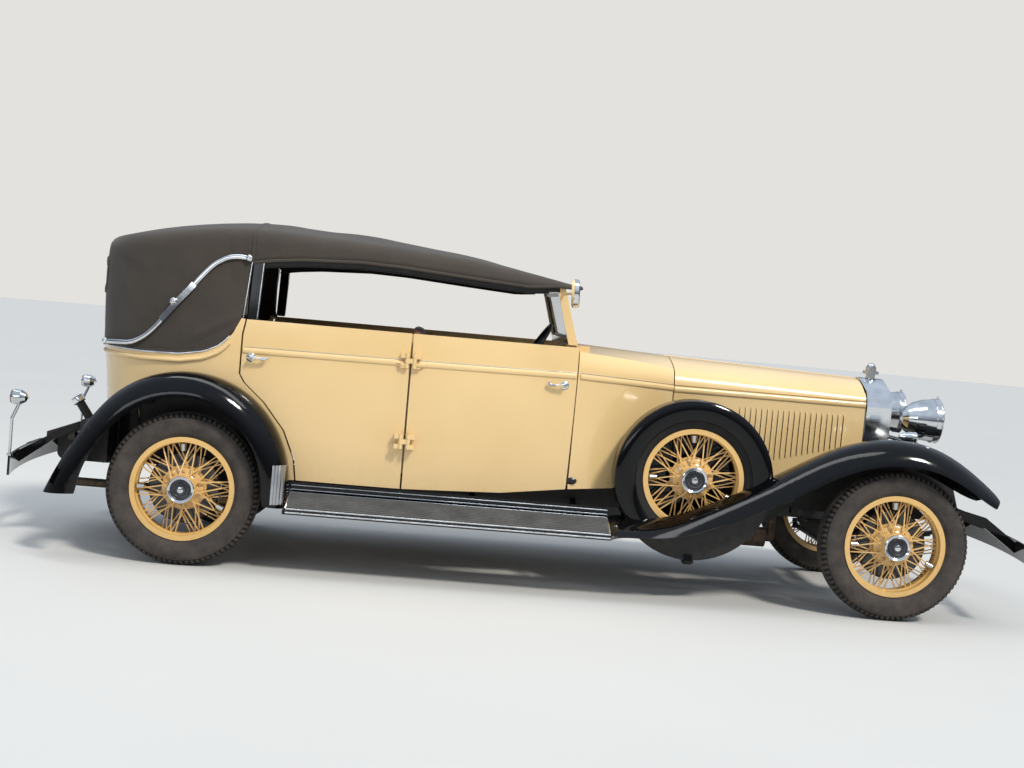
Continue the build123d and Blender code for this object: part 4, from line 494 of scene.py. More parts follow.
def end_tree(tree, source, sink, points, rotation=None):
    """Puts the form on every point, realizes the copies and gives them their finish."""
    form = add_node(tree, "GeometryNodeObjectInfo", {"Object": source.outputs["Form"]})
    copies = add_node(tree, "GeometryNodeInstanceOnPoints",
                      {"Points": points, "Instance": form.outputs["Geometry"]})
    if rotation is not None:
        tree.links.new(rotation, copies.inputs["Rotation"])
    real = add_node(tree, "GeometryNodeRealizeInstances", {"Geometry": copies})
    done = add_node(tree, "GeometryNodeSetMaterial",
                    {"Geometry": real, "Material": source.outputs["Finish"]})
    tree.links.new(done.outputs["Geometry"], sink.inputs["Geometry"])
    return tree


def ring_tree():
    """Copies of a form round the Y axis."""
    tree, source, sink = node_tree("forms_in_a_ring", [
        ("Form", "NodeSocketObject"), ("Count", "NodeSocketInt"), ("Step", "NodeSocketFloat"),
        ("Finish", "NodeSocketMaterial")])
    line = add_node(tree, "GeometryNodeMeshLine",
                    {"Count": source.outputs["Count"], "Offset": (0.0, 0.0, 0.0)})
    index = add_node(tree, "GeometryNodeInputIndex")
    turn = add_node(tree, "ShaderNodeMath", {0: index, 1: source.outputs["Step"]}, operation="MULTIPLY")
    angles = add_node(tree, "ShaderNodeCombineXYZ", {"Y": turn})
    return end_tree(tree, source, sink, line.outputs["Mesh"], angles.outputs["Vector"])


def grown_mesh(tree, form, finish, values):
    """The plain mesh that a tree makes of one form; inputs are set by their identifiers."""
    mesh = bpy.data.meshes.new("form")
    mesh.from_pydata([tuple(v) for v in form.vertices], [], form.faces)
    shape = bpy.data.objects.new("form", mesh)
    carrier = bpy.data.objects.new("carrier", bpy.data.meshes.new("seed"))
    for item in (shape, carrier):
        bpy.context.scene.collection.objects.link(item)
    modifier = carrier.modifiers.new("copies", "NODES")
    modifier.node_group = tree
    values = dict(values, Form=shape, Finish=MATERIALS[finish])
    for item in tree.interface.items_tree:
        if item.in_out == "INPUT":
            modifier[item.identifier] = values[item.name]
    graph = bpy.context.evaluated_depsgraph_get()
    grown = bpy.data.meshes.new_from_object(carrier.evaluated_get(graph))
    carrier.modifiers.clear()
    bpy.data.objects.remove(carrier)
    bpy.data.objects.remove(shape)
    return grown


def add_grown(target, mesh, shift=(0, 0, 0), flip_y=False):
    """Adds a grown mesh to a shape, moved, and mirrored in Y where flip_y says so."""
    points = []
    for vertex in mesh.vertices:
        x, y, z = vertex.co
        points.append(Vector((x, -y if flip_y else y, z)) + Vector(shift))
    target.add(points, [tuple(p.vertices) for p in mesh.polygons])


# Finishes on the CAD pieces

def finish_nodes():
    """Makes the materials and gives every CAD piece its own."""
    MATERIALS.update(make_materials())
    for finish, names in NODE_FINISH.items():
        for name in names:
            mesh = NODES[name].data
            mesh.materials.clear()
            mesh.materials.append(MATERIALS[finish])


# Stage and camera

# The camera as fitted to the photograph: metres, degrees and millimetres
CAMERA_PLACE = (-0.5613, -8.8318, 1.5098)
CAMERA_YAW = 2.931
CAMERA_PITCH = 2.9
CAMERA_ROLL = 5.045
CAMERA_LENS = 53.59
CAMERA_SENSOR = 36
SUN_STRENGTH = 2.3
SUN_SPREAD = 9
FLOOR_RINGS = (0.0, 4.0, 9.0, 20.0, 60.0)


def stand_camera():
    """The photograph's view."""
    yaw, pitch, roll = (math.radians(a) for a in (CAMERA_YAW, CAMERA_PITCH, CAMERA_ROLL))
    ahead = Vector((math.sin(yaw) * math.cos(pitch), math.cos(yaw) * math.cos(pitch), -math.sin(pitch)))
    level = Vector((math.cos(yaw), -math.sin(yaw), 0))
    above = level.cross(ahead)
    right = level * math.cos(roll) + above * math.sin(roll)
    up = above * math.cos(roll) - level * math.sin(roll)
    turn = Matrix((right, up, -ahead)).transposed()
    camera = bpy.data.objects.new("camera", bpy.data.cameras.new("camera"))
    camera.matrix_world = Matrix.Translation(CAMERA_PLACE) @ turn.to_4x4()
    camera.data.lens = CAMERA_LENS
    camera.data.sensor_width = CAMERA_SENSOR
    camera.data.clip_end = 400
    bpy.context.scene.collection.objects.link(camera)
    bpy.context.scene.camera = camera


def soft_light(name, place, target, size, power, colour=(1, 1, 1)):
    """A wide area lamp that faces a target."""
    light = bpy.data.lights.new(name, "AREA")
    light.shape = "RECTANGLE"
    light.size, light.size_y = size
    light.energy = power
    light.color = colour
    lamp = bpy.data.objects.new(name, light)
    lamp.location = place
    lamp.rotation_euler = (Vector(target) - Vector(place)).to_track_quat("-Z", "Y").to_euler()
    bpy.context.scene.collection.objects.link(lamp)


def light_world(floor_colour):
    """Pale studio air: white to the camera, a sky that darkens to the horizon in reflections."""
    world = bpy.data.worlds.new("studio")
    bpy.context.scene.world = world
    world.use_nodes = True
    tree = world.node_tree
    tree.nodes.clear()
    place = add_node(tree, "ShaderNodeTexCoord")
    split = add_node(tree, "ShaderNodeSeparateXYZ", {"Vector": place.outputs["Generated"]})
    sky = add_node(tree, "ShaderNodeValToRGB", {"Fac": split.outputs["Z"]},
                   [(0.0, "#4A4B4E"), (0.12, "#747A84"), (0.55, "#C9D6E6")])
    path = add_node(tree, "ShaderNodeLightPath")
    camera = path.outputs["Is Camera Ray"]
    seen = add_node(tree, "ShaderNodeMix", {"Factor": camera, MIX_FIRST: sky, MIX_SECOND: floor_colour},
                    data_type="RGBA")
    clear = add_node(tree, "ShaderNodeMath", {0: camera, 1: path.outputs["Is Glossy Ray"]},
                     operation="MAXIMUM")
    every = add_node(tree, "ShaderNodeMath", {0: clear, 1: path.outputs["Is Transmission Ray"]},
                     operation="MAXIMUM")
    strength = add_node(tree, "ShaderNodeMapRange", {"Value": every, "To Min": 1.05, "To Max": 1.0})
    air = add_node(tree, "ShaderNodeBackground", {"Color": seen.outputs[MIXED], "Strength": strength})
    add_node(tree, "ShaderNodeOutputWorld", {"Surface": air})


def set_stage():
    """Pale matt floor, key light, two soft banks, the world and the camera."""
    scene = bpy.context.scene
    scene.view_settings.view_transform = "Standard"
    material = drifting("studio_floor_matt_paint", (1429, 3), (0.3, "#CDCBC6"), (0.7, "#CFCDC8"),
                        {"Roughness": 0.85})[0]
    floor = Shape()
    floor.turned([(0.0, r) for r in FLOOR_RINGS], (0, 0, 0), "Z", 64)
    mesh = bpy.data.meshes.new("floor")
    mesh.from_pydata([tuple(v) for v in floor.vertices], [], floor.faces)
    mesh.materials.append(material)
    ground = bpy.data.objects.new("floor", mesh)
    bpy.context.scene.collection.objects.link(ground)
    light_world(srgb("#E4E2DE"))
    sun = bpy.data.lights.new("key_light", "SUN")
    sun.energy = SUN_STRENGTH
    sun.angle = math.radians(SUN_SPREAD)
    sun.color = (1.0, 0.965, 0.90)
    key = bpy.data.objects.new("key_light", sun)
    key.rotation_euler = Vector((-0.45, 0.62, -0.80)).to_track_quat("-Z", "Y").to_euler()
    scene.collection.objects.link(key)
    soft_light("top_bank", (-0.6, -1.0, 6.0), (0, 0, 0.6), (7.0, 1.2), 120)
    soft_light("near_bank", (-4.5, -8.0, 3.2), (0, 0, 0.9), (5.0, 1.2), 60, (0.95, 0.97, 1.0))
    stand_camera()


# Add-on classes

class TourerSizes(bpy.types.PropertyGroup):
    """Sizes and counts that a user would change."""
    rib_count: bpy.props.IntProperty(
        name="Board ribs", description="Ribs across each running board", default=15, min=4)
    tread_blocks: bpy.props.IntProperty(
        name="Tread blocks", description="Blocks round each tyre shoulder", default=84, min=12)
    louvre_count: bpy.props.IntProperty(
        name="Louvres", description="Louvres in each side of the bonnet", default=20, min=1, max=20)
    seat_channels: bpy.props.IntProperty(
        name="Seat channels", description="Sewn channels across each cushion", default=12, min=2)
    cloth_thickness: bpy.props.FloatProperty(
        name="Hood cloth", description="Thickness of the hood cloth", default=0.003, unit="LENGTH")
    moulding_height: bpy.props.FloatProperty(
        name="Belt moulding", description="Height of the waist moulding", default=0.034, unit="LENGTH")
    moulding_proud: bpy.props.FloatProperty(
        name="Moulding stand", description="How far the moulding stands out", default=0.008, unit="LENGTH")


class TourerColours(bpy.types.PropertyGroup):
    """Colours that a user would change."""
    coachwork: bpy.props.FloatVectorProperty(
        name="Coachwork", description="Enamel of body, doors and bonnet", subtype="COLOR",
        default=srgb("#ECCB92")[:3], min=0, max=1)
    wings: bpy.props.FloatVectorProperty(
        name="Wings", description="Enamel of wings and spare wheel covers", subtype="COLOR",
        default=srgb("#050507")[:3], min=0, max=1)
    wheels: bpy.props.FloatVectorProperty(
        name="Wheels", description="Enamel of spokes and rims", subtype="COLOR",
        default=srgb("#E9C07A")[:3], min=0, max=1)
    hood: bpy.props.FloatVectorProperty(
        name="Hood", description="Cloth of roof and hood", subtype="COLOR",
        default=srgb("#40382F")[:3], min=0, max=1)
    upholstery: bpy.props.FloatVectorProperty(
        name="Upholstery", description="Hide of seats and door cards", subtype="COLOR",
        default=srgb("#6E4429")[:3], min=0, max=1)


# Cloth top

# How far the cloth stands off the CAD top, and its girths: over the roof, and round the tail
CLOTH_STAND = 0.0015
ROOF_GIRTH = 1.75
HOOD_GIRTH = 3.1
ROOF_FRONT_X = 0.1885
SEAM_X = -1.572
QUARTER_X = -1.5755
QUARTER_FOOT_Z = 1.327
ROOF_CORE_Z = 1.35
# Half the width at which the hood's rays aim where they find no skin
HOOD_HALF = 0.70
# The roof's lower edge and the hood's lower edge, as (x, z)
VALANCE = [(0.189, 1.633), (0.060, 1.6355), (-0.100, 1.621), (-0.369, 1.637), (-0.773, 1.664),
           (-1.000, 1.670), (-1.302, 1.656), (-1.450, 1.640), (-1.572, 1.618)]
HOOD_BASE = [(-1.586, 1.325), (-1.600, 1.300), (-1.640, 1.240), (-1.700, 1.170), (-1.784, 1.128),
             (-1.913, 1.104), (-2.131, 1.098), (-2.600, 1.110)]
HOOD_CORE = Vector((-1.80, 0, 1.22))
HOOD_START = math.atan2(-(SEAM_X - 0.03 - HOOD_CORE.x), HOOD_HALF)
COACH_CORE = Vector((-1.1, 0, 1.2))
BACK_LIGHT_Y = 0.290
BACK_LIGHT_Z = (1.420, 1.560)
BACK_LIGHT_SQUARE = 0.28
# The back of the hood: rays start behind it, hits past the first plane are on it, and where a ray
# finds none, the cloth is taken to stand at the last
BACK_START_X = -3.2
BACK_FROM_X = -2.3
BACK_STAND_X = -2.42
# Frame round the back light: rings as (grown by, proud by)
BACK_LIGHT_RINGS = ((-0.006, -0.004), (-0.006, 0.006), (0.010, 0.0085), (0.030, 0.0075), (0.038, -0.002))
BOWS = (0.15, -0.40, -0.98, -1.53)
BOW_SLACK = 0.006


def slack(x):
    """How far the roof cloth sinks between its bows: zero on each bow, deepest midway."""
    for front, rear in zip(BOWS, BOWS[1:]):
        if rear <= x <= front:
            return BOW_SLACK * math.sin(math.pi * (front - x) / (front - rear)) ** 2
    return 0.0


# Folds of the hood's sides: (x, z) of both ends, height and half width
HOOD_FOLDS = [((-1.925, 1.135), (-1.600, 1.335), 0.0100, 0.020),
              ((-1.700, 1.160), (-1.590, 1.300), 0.0050, 0.016),
              ((-2.360, 1.640), (-2.080, 1.500), 0.0060, 0.028),
              ((-2.330, 1.560), (-2.150, 1.240), 0.0045, 0.030),
              ((-1.700, 1.770), (-1.640, 1.480), 0.0040, 0.026)]
FOLDS_FROM_Y = 0.30


def folds(point):
    """A ridge with a valley beside it along each fold, fading out at both ends."""
    if abs(point.y) < FOLDS_FROM_Y:
        return 0.0
    rise = 0.0
    for (x0, z0), (x1, z1), height, width in HOOD_FOLDS:
        length = math.hypot(x1 - x0, z1 - z0)
        ux, uz = (x1 - x0) / length, (z1 - z0) / length
        t = ((point.x - x0) * ux + (point.z - z0) * uz) / length
        if 0 < t < 1:
            side = (point.z - z0) * ux - (point.x - x0) * uz
            ridge = math.exp(-((side - 0.6 * width) / width) ** 2)
            valley = math.exp(-((side + 0.8 * width) / width) ** 2)
            rise += height * math.sin(math.pi * t) * (ridge - 0.45 * valley)
    return rise


def creases(point, size=0.0026):
    """Small, slow puckers of stretched cloth."""
    slow = value_noise.noise(Vector((point.x * 3.1, point.y * 3.1, point.z * 5.3)))
    quick = value_noise.noise(Vector((point.x * 9.0 + point.z * 6.0, point.y * 7.0, point.z * 9.0)))
    return size * (slow + 0.5 * quick)


def roof_rows(tree):
    """Hoops across the roof, from the windscreen to the quarter seam, each from left to right."""
    rows = []
    for x in spread(ROOF_FRONT_X, SEAM_X, 84):
        edge_z = between(VALANCE, x)
        side_hit = skin(tree, x, edge_z + 0.004, 1)
        half = side_hit[0].y if side_hit else rows[-1][0].y
        low = math.atan2(edge_z + 0.001 - ROOF_CORE_Z, half)
        row = []
        for angle in spread(low, math.pi - low, 65):
            out = Vector((0, math.cos(angle), math.sin(angle)))
            core = Vector((x, 0, ROOF_CORE_Z))
            hit, normal, _, _ = tree.ray_cast(core + out * RAY_START, -out)
            if hit is None or (hit - core).dot(out) < 0:
                hit, normal = row[-1] if row else Vector((x, half, edge_z)), out
            inner = min(1.0, 3.0 * min(angle - low, math.pi - low - angle))
            row.append(hit + normal * (CLOTH_STAND + creases(hit)) - out * slack(x) * inner)
        rows.append(row)
    return rows


def seam_hoop(tree, count=89):
    """The front edge of the hood: up one side from the body, over the roof and down the other."""
    core = Vector((QUARTER_X, 0, ROOF_CORE_Z))
    low = math.atan2(QUARTER_FOOT_Z - ROOF_CORE_Z, HOOD_HALF)
    hoop = []
    for angle in spread(low, math.pi - low, count):
        out = Vector((0, math.cos(angle), math.sin(angle)))
        hit, normal, _, _ = tree.ray_cast(core + out * RAY_START, -out)
        if hit is None or (hit - core).dot(out) < 0.3:
            hit, normal = (hoop[-1] if hoop else core + out * HOOD_HALF), out
        hoop.append(hit + normal * CLOTH_STAND)
    return hoop


def base_point(tree, angle):
    """Where the hood meets the body, at an angle round the tail (0 to the left, pi to the right)."""
    out = Vector((-math.sin(angle), math.cos(angle), 0))
    z = 1.2
    place = None
    for _ in range(6):
        hit, _, _, _ = tree.ray_cast(Vector((HOOD_CORE.x, 0, z)) + out * 2.0, -out)
        if hit is None or (hit - HOOD_CORE).dot(out) < 0:
            z += 0.01
            continue
        place = hit
        z = between(HOOD_BASE, hit.x) + 0.008
    return place


def tail_angle(k, steps):
    """The angle round the tail of one of so many equal steps from the left seam to the right one."""
    return HOOD_START + (math.pi - 2 * HOOD_START) * k / steps


def hood_rows(tree, seam, count=58):
    """Rows of hits from the seam hoop down to the base line, each from left to right, and that line."""
    base = []
    for k in range(len(seam)):
        point = base_point(tree, tail_angle(k, len(seam) - 1))
        if point is None:
            point = base[-1].copy() if base else Vector((SEAM_X, seam[0].y, 1.33))
        base.append(point)
    rows = []
    for i in range(count):
        t = i / (count - 1)
        row = []
        for start, end in zip(seam, base):
            a = (start - HOOD_CORE).normalized()
            b = (end - HOOD_CORE).normalized()
            out = a.slerp(b, t)
            hit, normal, _, _ = tree.ray_cast(HOOD_CORE + out * 2.2, -out)
            row.append((hit, normal, out))
        rows.append(row)
    return rows, base


def in_back_light(point, grow):
    """Whether a point of the hood lies in the opening at the back, made larger all round by grow."""
    low, high = BACK_LIGHT_Z
    return (point.x < -2.2 and abs(point.y) < BACK_LIGHT_Y + grow and low - grow < point.z < high + grow)


def hood_points(tree, seam):
    """The hood's grid with the hits through the back light filled from their neighbours."""
    rows, base = hood_rows(tree, seam)
    grid = []
    for i, row in enumerate(rows):
        line = []
        for k, (hit, normal, out) in enumerate(row):
            reach = (hit - HOOD_CORE).dot(out) if hit else 0.0
            if i == 0:
                line.append(seam[k])
            elif i == len(rows) - 1:
                line.append(base[k])
            elif hit is None or reach < 0.25 or (hit.x > BACK_FROM_X and out.x < -0.85):
                line.append(None)
            else:
                rise = max(0.0004, CLOTH_STAND + creases(hit, 0.0022) + folds(hit))
                line.append(hit + normal * rise)
        grid.append(line)
    for _ in range(80):
        holes = [(i, k) for i, line in enumerate(grid) for k, point in enumerate(line) if point is None]
        if not holes:
            break
        filled = {}
        for i, k in holes:
            beside = [(i + a, k + b) for a, b in ((1, 0), (-1, 0), (0, 1), (0, -1))]
            near = [grid[m][n] for m, n in beside
                    if 0 <= m < len(grid) and 0 <= n < len(grid[0]) and grid[m][n] is not None]
            if near:
                filled[(i, k)] = sum(near, Vector()) / len(near)
        for (i, k), point in filled.items():
            grid[i][k] = point
    return grid


def walled(piece, thickness):
    """Gives a sheet its thickness, inwards."""
    wall = piece.modifiers.new("thickness", "SOLIDIFY")
    wall.thickness = thickness
    wall.offset = -1.0
    wall.use_even_offset = False
    return piece


def face_outwards(piece, core):
    """Turns an open sheet so that its faces look away from a point inside."""
    mesh = piece.data
    score = sum((p.center - core).dot(p.normal) * p.area for p in mesh.polygons)
    if score < 0:
        mesh.flip_normals()


def hem_line(points, normals, name, width=0.011, height=0.0045):
    """A flattened roll of cloth along an edge."""
    shape = Shape()
    section = [(width * math.cos(a), height * math.sin(a)) for a in spread(0, 2 * math.pi * 11 / 12, 12)]
    shape.tube(points, section, ups=normals)
    shape.piece(name, "cloth", "car")


def row_normals(rows, index):
    """Outward directions along one row of a grid of points."""
    result = []
    for k, point in enumerate(rows[index]):
        ahead = rows[min(index + 1, len(rows) - 1)][k] - rows[max(index - 1, 0)][k]
        along = rows[index][min(k + 1, len(rows[index]) - 1)] - rows[index][max(k - 1, 0)]
        normal = ahead.cross(along)
        if normal.length < 1e-9:
            normal = point - COACH_CORE
        normal.normalize()
        result.append(normal if normal.dot(point - COACH_CORE) > 0 else -normal)
    return result


def make_cloth_top():
    """The raised top: a roof sheet over four bows and a hood sheet sewn to it at the quarter."""
    tree = surface_of("soft_top")
    roof = roof_rows(tree)
    hood = hood_points(tree, seam_hoop(tree))
    front = Shape()
    front.grid(roof)
    rear = Shape()
    rear.grid(hood)
    rear.faces = [f for f in rear.faces
                  if not in_back_light(sum((rear.vertices[i] for i in f), Vector()) / len(f), 0.006)]
    for name, shape, girth, held_by in (("roof_cloth", front, ROOF_GIRTH, "windscreen_frame"),
                                        ("hood_cloth", rear, HOOD_GIRTH, "rear_body")):
        piece = shape.piece(name, "cloth", "car", replaced=("soft_top",))
        face_outwards(piece, Vector((-1.2, 0, 1.2)))
        walled(piece, bpy.context.scene.tourer_sizes.cloth_thickness)
    for name, index in (("roof_front_hem", 0), ("quarter_seam", len(roof) - 1)):
        hem_line(roof[index], row_normals(roof, index), name)
    for side, k, sign in (("left", 0, 1), ("right", len(roof[0]) - 1, -1)):
        edge = [row[k] for row in roof]
        hem_line(edge, [Vector((0, sign, 0.25)) for _ in edge], "roof_edge_" + side,
                 width=0.009, height=0.006)
    hem_line(hood[-1], [(p - HOOD_CORE).normalized() for p in hood[-1]], "hood_hem")
    make_back_light(tree)


def beside_light(y, z):
    """The nearest place beside the back light at which a ray from behind meets the hood."""
    low, high = BACK_LIGHT_Z
    middle_z = (low + high) / 2
    half_z = (high - low) / 2
    if abs(y) > BACK_LIGHT_Y - 0.02 and abs(z - middle_z) < half_z - 0.02:
        return math.copysign(max(abs(y), BACK_LIGHT_Y + 0.012), y), z
    if abs(z - middle_z) > half_z + 0.010 or abs(y) > BACK_LIGHT_Y + 0.010:
        return y, z
    return y, middle_z + math.copysign(half_z + 0.012, z - middle_z)


def make_back_light(tree):
    """Sewn frame round the opening in the back of the hood."""
    low, high = BACK_LIGHT_Z
    middle_z = (low + high) / 2
    half_z = (high - low) / 2
    rows = []
    for grow, proud in BACK_LIGHT_RINGS:
        row = []
        for a in ring_angles(72):
            y = math.copysign(abs(math.cos(a)) ** BACK_LIGHT_SQUARE, math.cos(a)) * (BACK_LIGHT_Y + grow)
            z = math.copysign(abs(math.sin(a)) ** BACK_LIGHT_SQUARE, math.sin(a)) * (half_z + grow) + middle_z
            hit, _, _, _ = tree.ray_cast(Vector((BACK_START_X, *beside_light(y, z))), Vector((1, 0, 0)))
            x = hit.x if hit and hit.x < BACK_FROM_X else BACK_STAND_X
            row.append(Vector((x - proud, y, z)))
        rows.append(row)
    frame = Shape()
    frame.grid(rows, closed_across=True)
    frame.piece("back_light_frame", "cloth", "car")


# Tyres and wheels

SECTION_RADIUS = 0.3395
TREAD_DEPTH = 0.0075
# Angles from the crown, in degrees: ribs with grooves, then shoulder blocks, then rings on the wall
CROWN_EDGE = 27
SHOULDER_EDGE = 63.5
CROWN_GROOVES = (6.5, 17.0)
GROOVE_HALF = 1.7
WALL_RINGS = ((70, 1.3, TREAD_DEPTH + 0.0012), (77, 1.3, TREAD_DEPTH + 0.0012),
              (121, 2.2, TREAD_DEPTH + 0.0016))
# Name, body, x and side of each road wheel
WHEELS = [(end + "_" + side, "road_wheel_" + end + "_" + side, WHEEL_X[end], sign)
          for end in ("front", "rear") for side, sign in SIDES]


def tyre_outline(tree, x, count=112):
    """The CAD tyre's own section as (angle from the crown, reach from the section's middle)."""
    outline = []
    for a in ring_angles(count):
        out = Vector((0, math.sin(a), math.cos(a)))
        core = Vector((x, WHEEL_Y, WHEEL_Z + SECTION_RADIUS))
        hit, _, _, _ = tree.ray_cast(core + out * 0.2, -out)
        reach = (hit - core).length if hit else 0.06
        outline.append((a, reach))
    return outline


def tread_rise(a):
    """How far the rubber stands above the groove floor at an angle from the crown."""
    degrees = abs((math.degrees(a) + 180) % 360 - 180)
    if degrees < CROWN_EDGE:
        return 0.0 if any(abs(degrees - g) < GROOVE_HALF for g in CROWN_GROOVES) else TREAD_DEPTH
    if degrees < SHOULDER_EDGE:
        return 0.0
    for middle, half, rise in WALL_RINGS:
        if abs(degrees - middle) < half:
            return rise
    return TREAD_DEPTH


def tyre_body(outline, segments=120):
    """The tyre without its shoulder blocks, round the Y axis."""
    shape = Shape()
    profile = []
    for a, reach in outline:
        r = reach + tread_rise(a) - TREAD_DEPTH
        profile.append((r * math.sin(a), SECTION_RADIUS + r * math.cos(a)))
    shape.turned(profile + profile[:1], (0, 0, 0), "Y", segments)
    return shape


def tread_block(outline, blocks):
    """One shoulder block, curved over the tyre's shoulder, at the top of the wheel."""
    half = 0.58 * math.pi / blocks
    shape = Shape()
    rows = []
    for degrees in spread(29, 62, 6):
        a = math.radians(degrees)
        reach = min(outline, key=lambda item: abs(item[0] - a))[1]
        ring = []
        for rise, turn in ((-TREAD_DEPTH - 0.001, -half), (-0.0006, -half * 0.86),
                           (-0.0006, half * 0.86), (-TREAD_DEPTH - 0.001, half)):
            r = reach + rise
            radius = SECTION_RADIUS + r * math.cos(a)
            skew = turn + (degrees - 30) * 0.00035
            ring.append(Vector((radius * math.sin(skew), r * math.sin(a), radius * math.cos(skew))))
        rows.append(ring)
    shape.grid(rows, closed_across=True, caps=True)
    return shape


def add_tyre(shape, outline, blocks, centre):
    """One whole tyre: its body and the blocks of both shoulders."""
    body = tyre_body(outline)
    shape.add([v + Vector(centre) for v in body.vertices], body.faces)
    for flip in (False, True):
        add_grown(shape, blocks, centre, flip)


def shaded_tread_floor(outline, centre):
    """Rubber between the shoulder blocks, drawn darker than the blocks as painted shade in the grooves."""
    floor = Shape()
    band = []
    for a, reach in outline:
        if 26 < math.degrees(a) < 66:
            r = reach - TREAD_DEPTH + 0.0007
            band.append((r * math.sin(a), SECTION_RADIUS + r * math.cos(a)))
    inner = [(y - 0.002, radius - 0.002) for y, radius in reversed(band)]
    for flip in (1, -1):
        floor.turned(band + inner + band[:1], centre, "Y", 120, flip)
    return floor


def make_tyres():
    """Four road tyres and two spares: ribbed crown, blocks round both shoulders, ringed side walls."""
    count = bpy.context.scene.tourer_sizes.tread_blocks
    outline = tyre_outline(surface_of("tyre_rear_left"), WHEEL_X["rear"])
    blocks = grown_mesh(ring_tree(), tread_block(outline, count), "tyre",
                        {"Count": count, "Step": 2 * math.pi / count})
    for name, body, x, sign in WHEELS:
        centre = (x, sign * WHEEL_Y, WHEEL_Z)
        shape = Shape()
        add_tyre(shape, outline, blocks, centre)
        shape.piece("tread_" + name, "tyre", body, replaced=("tyre_" + name,))
        # the floor between the shoulder blocks in darker rubber: painted shade in the grooves
        shaded_tread_floor(outline, centre).piece("tread_floor_" + name, "spare_tyre", body)
    for side, sign in SIDES:
        shape = Shape()
        add_tyre(shape, outline, blocks, (SPARE[0], sign * SPARE[1], SPARE[2]))
        # the spares in the darker, clean rubber: painted shade under their covers
        shape.piece("spare_tread_" + side, "spare_tyre", "car", replaced=("spare_tyres",))


# Turned profiles of the wheel's middle, as (along the axle, radius)
CAP_PROFILE = [(0.062, 0.0665), (0.098, 0.0700), (0.105, 0.0715), (0.109, 0.0700), (0.111, 0.0660),
               (0.108, 0.0610), (0.1055, 0.0560)]
CAP_DISC = [(0.1050, 0.0575), (0.1080, 0.0510), (0.1055, 0.0480), (0.1055, 0.0450), (0.1090, 0.0420),
            (0.1098, 0.0350), (0.1072, 0.0320), (0.1072, 0.0290), (0.1102, 0.0265), (0.1110, 0.0150),
            (0.1110, 0.0)]
CAP_BOSS = [(0.1105, 0.0170), (0.1130, 0.0160), (0.1150, 0.0110), (0.1156, 0.0)]
FLANGE = [(0.018, 0.050), (0.018, 0.100), (0.022, 0.108), (0.028, 0.108), (0.032, 0.101), (0.034, 0.085),
          (0.050, 0.064), (0.064, 0.060)]
FLANGE_NUT = [(0.030, 0.0085), (0.040, 0.0085), (0.042, 0.006), (0.042, 0.0)]
FLANGE_NUTS = 10
NUT_CIRCLE = 0.092
# Where the clip-on weights start round the rim and how far they reach, in radians
WEIGHT_STARTS = (-0.13, 1.90, 4.62)
WEIGHT_SPAN = 0.15


def wheel_dress(name, body, x, y, z, sign):
    """Hub cap with its ringed disc, the cream hub flange and the clip-on weights of one wheel."""
    centre = (x, y, z)
    cap = Shape()
    cap.turned(CAP_PROFILE, centre, "Y", 56, sign)
    cap.turned(CAP_BOSS, centre, "Y", 24, sign)
    cap.piece("hub_cap_" + name, "chrome", body)
    # the disc's dark grey plate is a painted dark reflection
    turned_piece("hub_disc_" + name, "cap_face", CAP_DISC, centre, "Y", 56, sign, body)
    flange = Shape()
    flange.turned(FLANGE, centre, "Y", 56, sign)
    for a in ring_angles(FLANGE_NUTS):
        spot = (x + NUT_CIRCLE * math.sin(a), y, z + NUT_CIRCLE * math.cos(a))
        flange.turned(FLANGE_NUT, spot, "Y", 6, sign)
    flange.piece("hub_flange_" + name, "wheel", body)
    weights = Shape()
    for start in WEIGHT_STARTS:
        rows = []
        for a in spread(start, start + WEIGHT_SPAN, 7):
            bulge = 0.014 * math.sin(math.pi * (a - start) / WEIGHT_SPAN)
            section = ((0.199, 0.034), (0.199, 0.040 + bulge), (0.236, 0.044 + bulge), (0.243, 0.034))
            rows.append([Vector((x + radius * math.sin(a), y + sign * along, z + radius * math.cos(a)))
                         for radius, along in section])
        weights.grid(rows, closed_across=True, caps=True)
    weights.piece("balance_weights_" + name, "nickel", body)


def make_wheel_trim():
    """Hub caps, flanges and weights of the road wheels and spares."""
    for name, body, x, sign in WHEELS:
        wheel_dress(name, body, x, sign * WHEEL_Y, WHEEL_Z, sign)
    for side, sign in SIDES:
        wheel_dress("spare_" + side, "car", SPARE[0], sign * SPARE[1], SPARE[2], sign)


# Lamps

# Middle of each lamp's glass and its radius
HEADLAMP = (2.288, 0.345, 1.075, 0.118)
SIDE_LAMP = (2.089, 0.640, 0.990, 0.0235)
TAIL_LAMP = (-2.744, 0.790, 0.815, 0.034)


def domed(radius, rise, thick):
    """A dished glass: (along, radius) points from the rim to the middle and back."""
    front = [(rise * math.cos(math.pi / 2 * r / radius), r) for r in spread(radius, 0.0, 9)]
    return [(-thick, radius)] + front


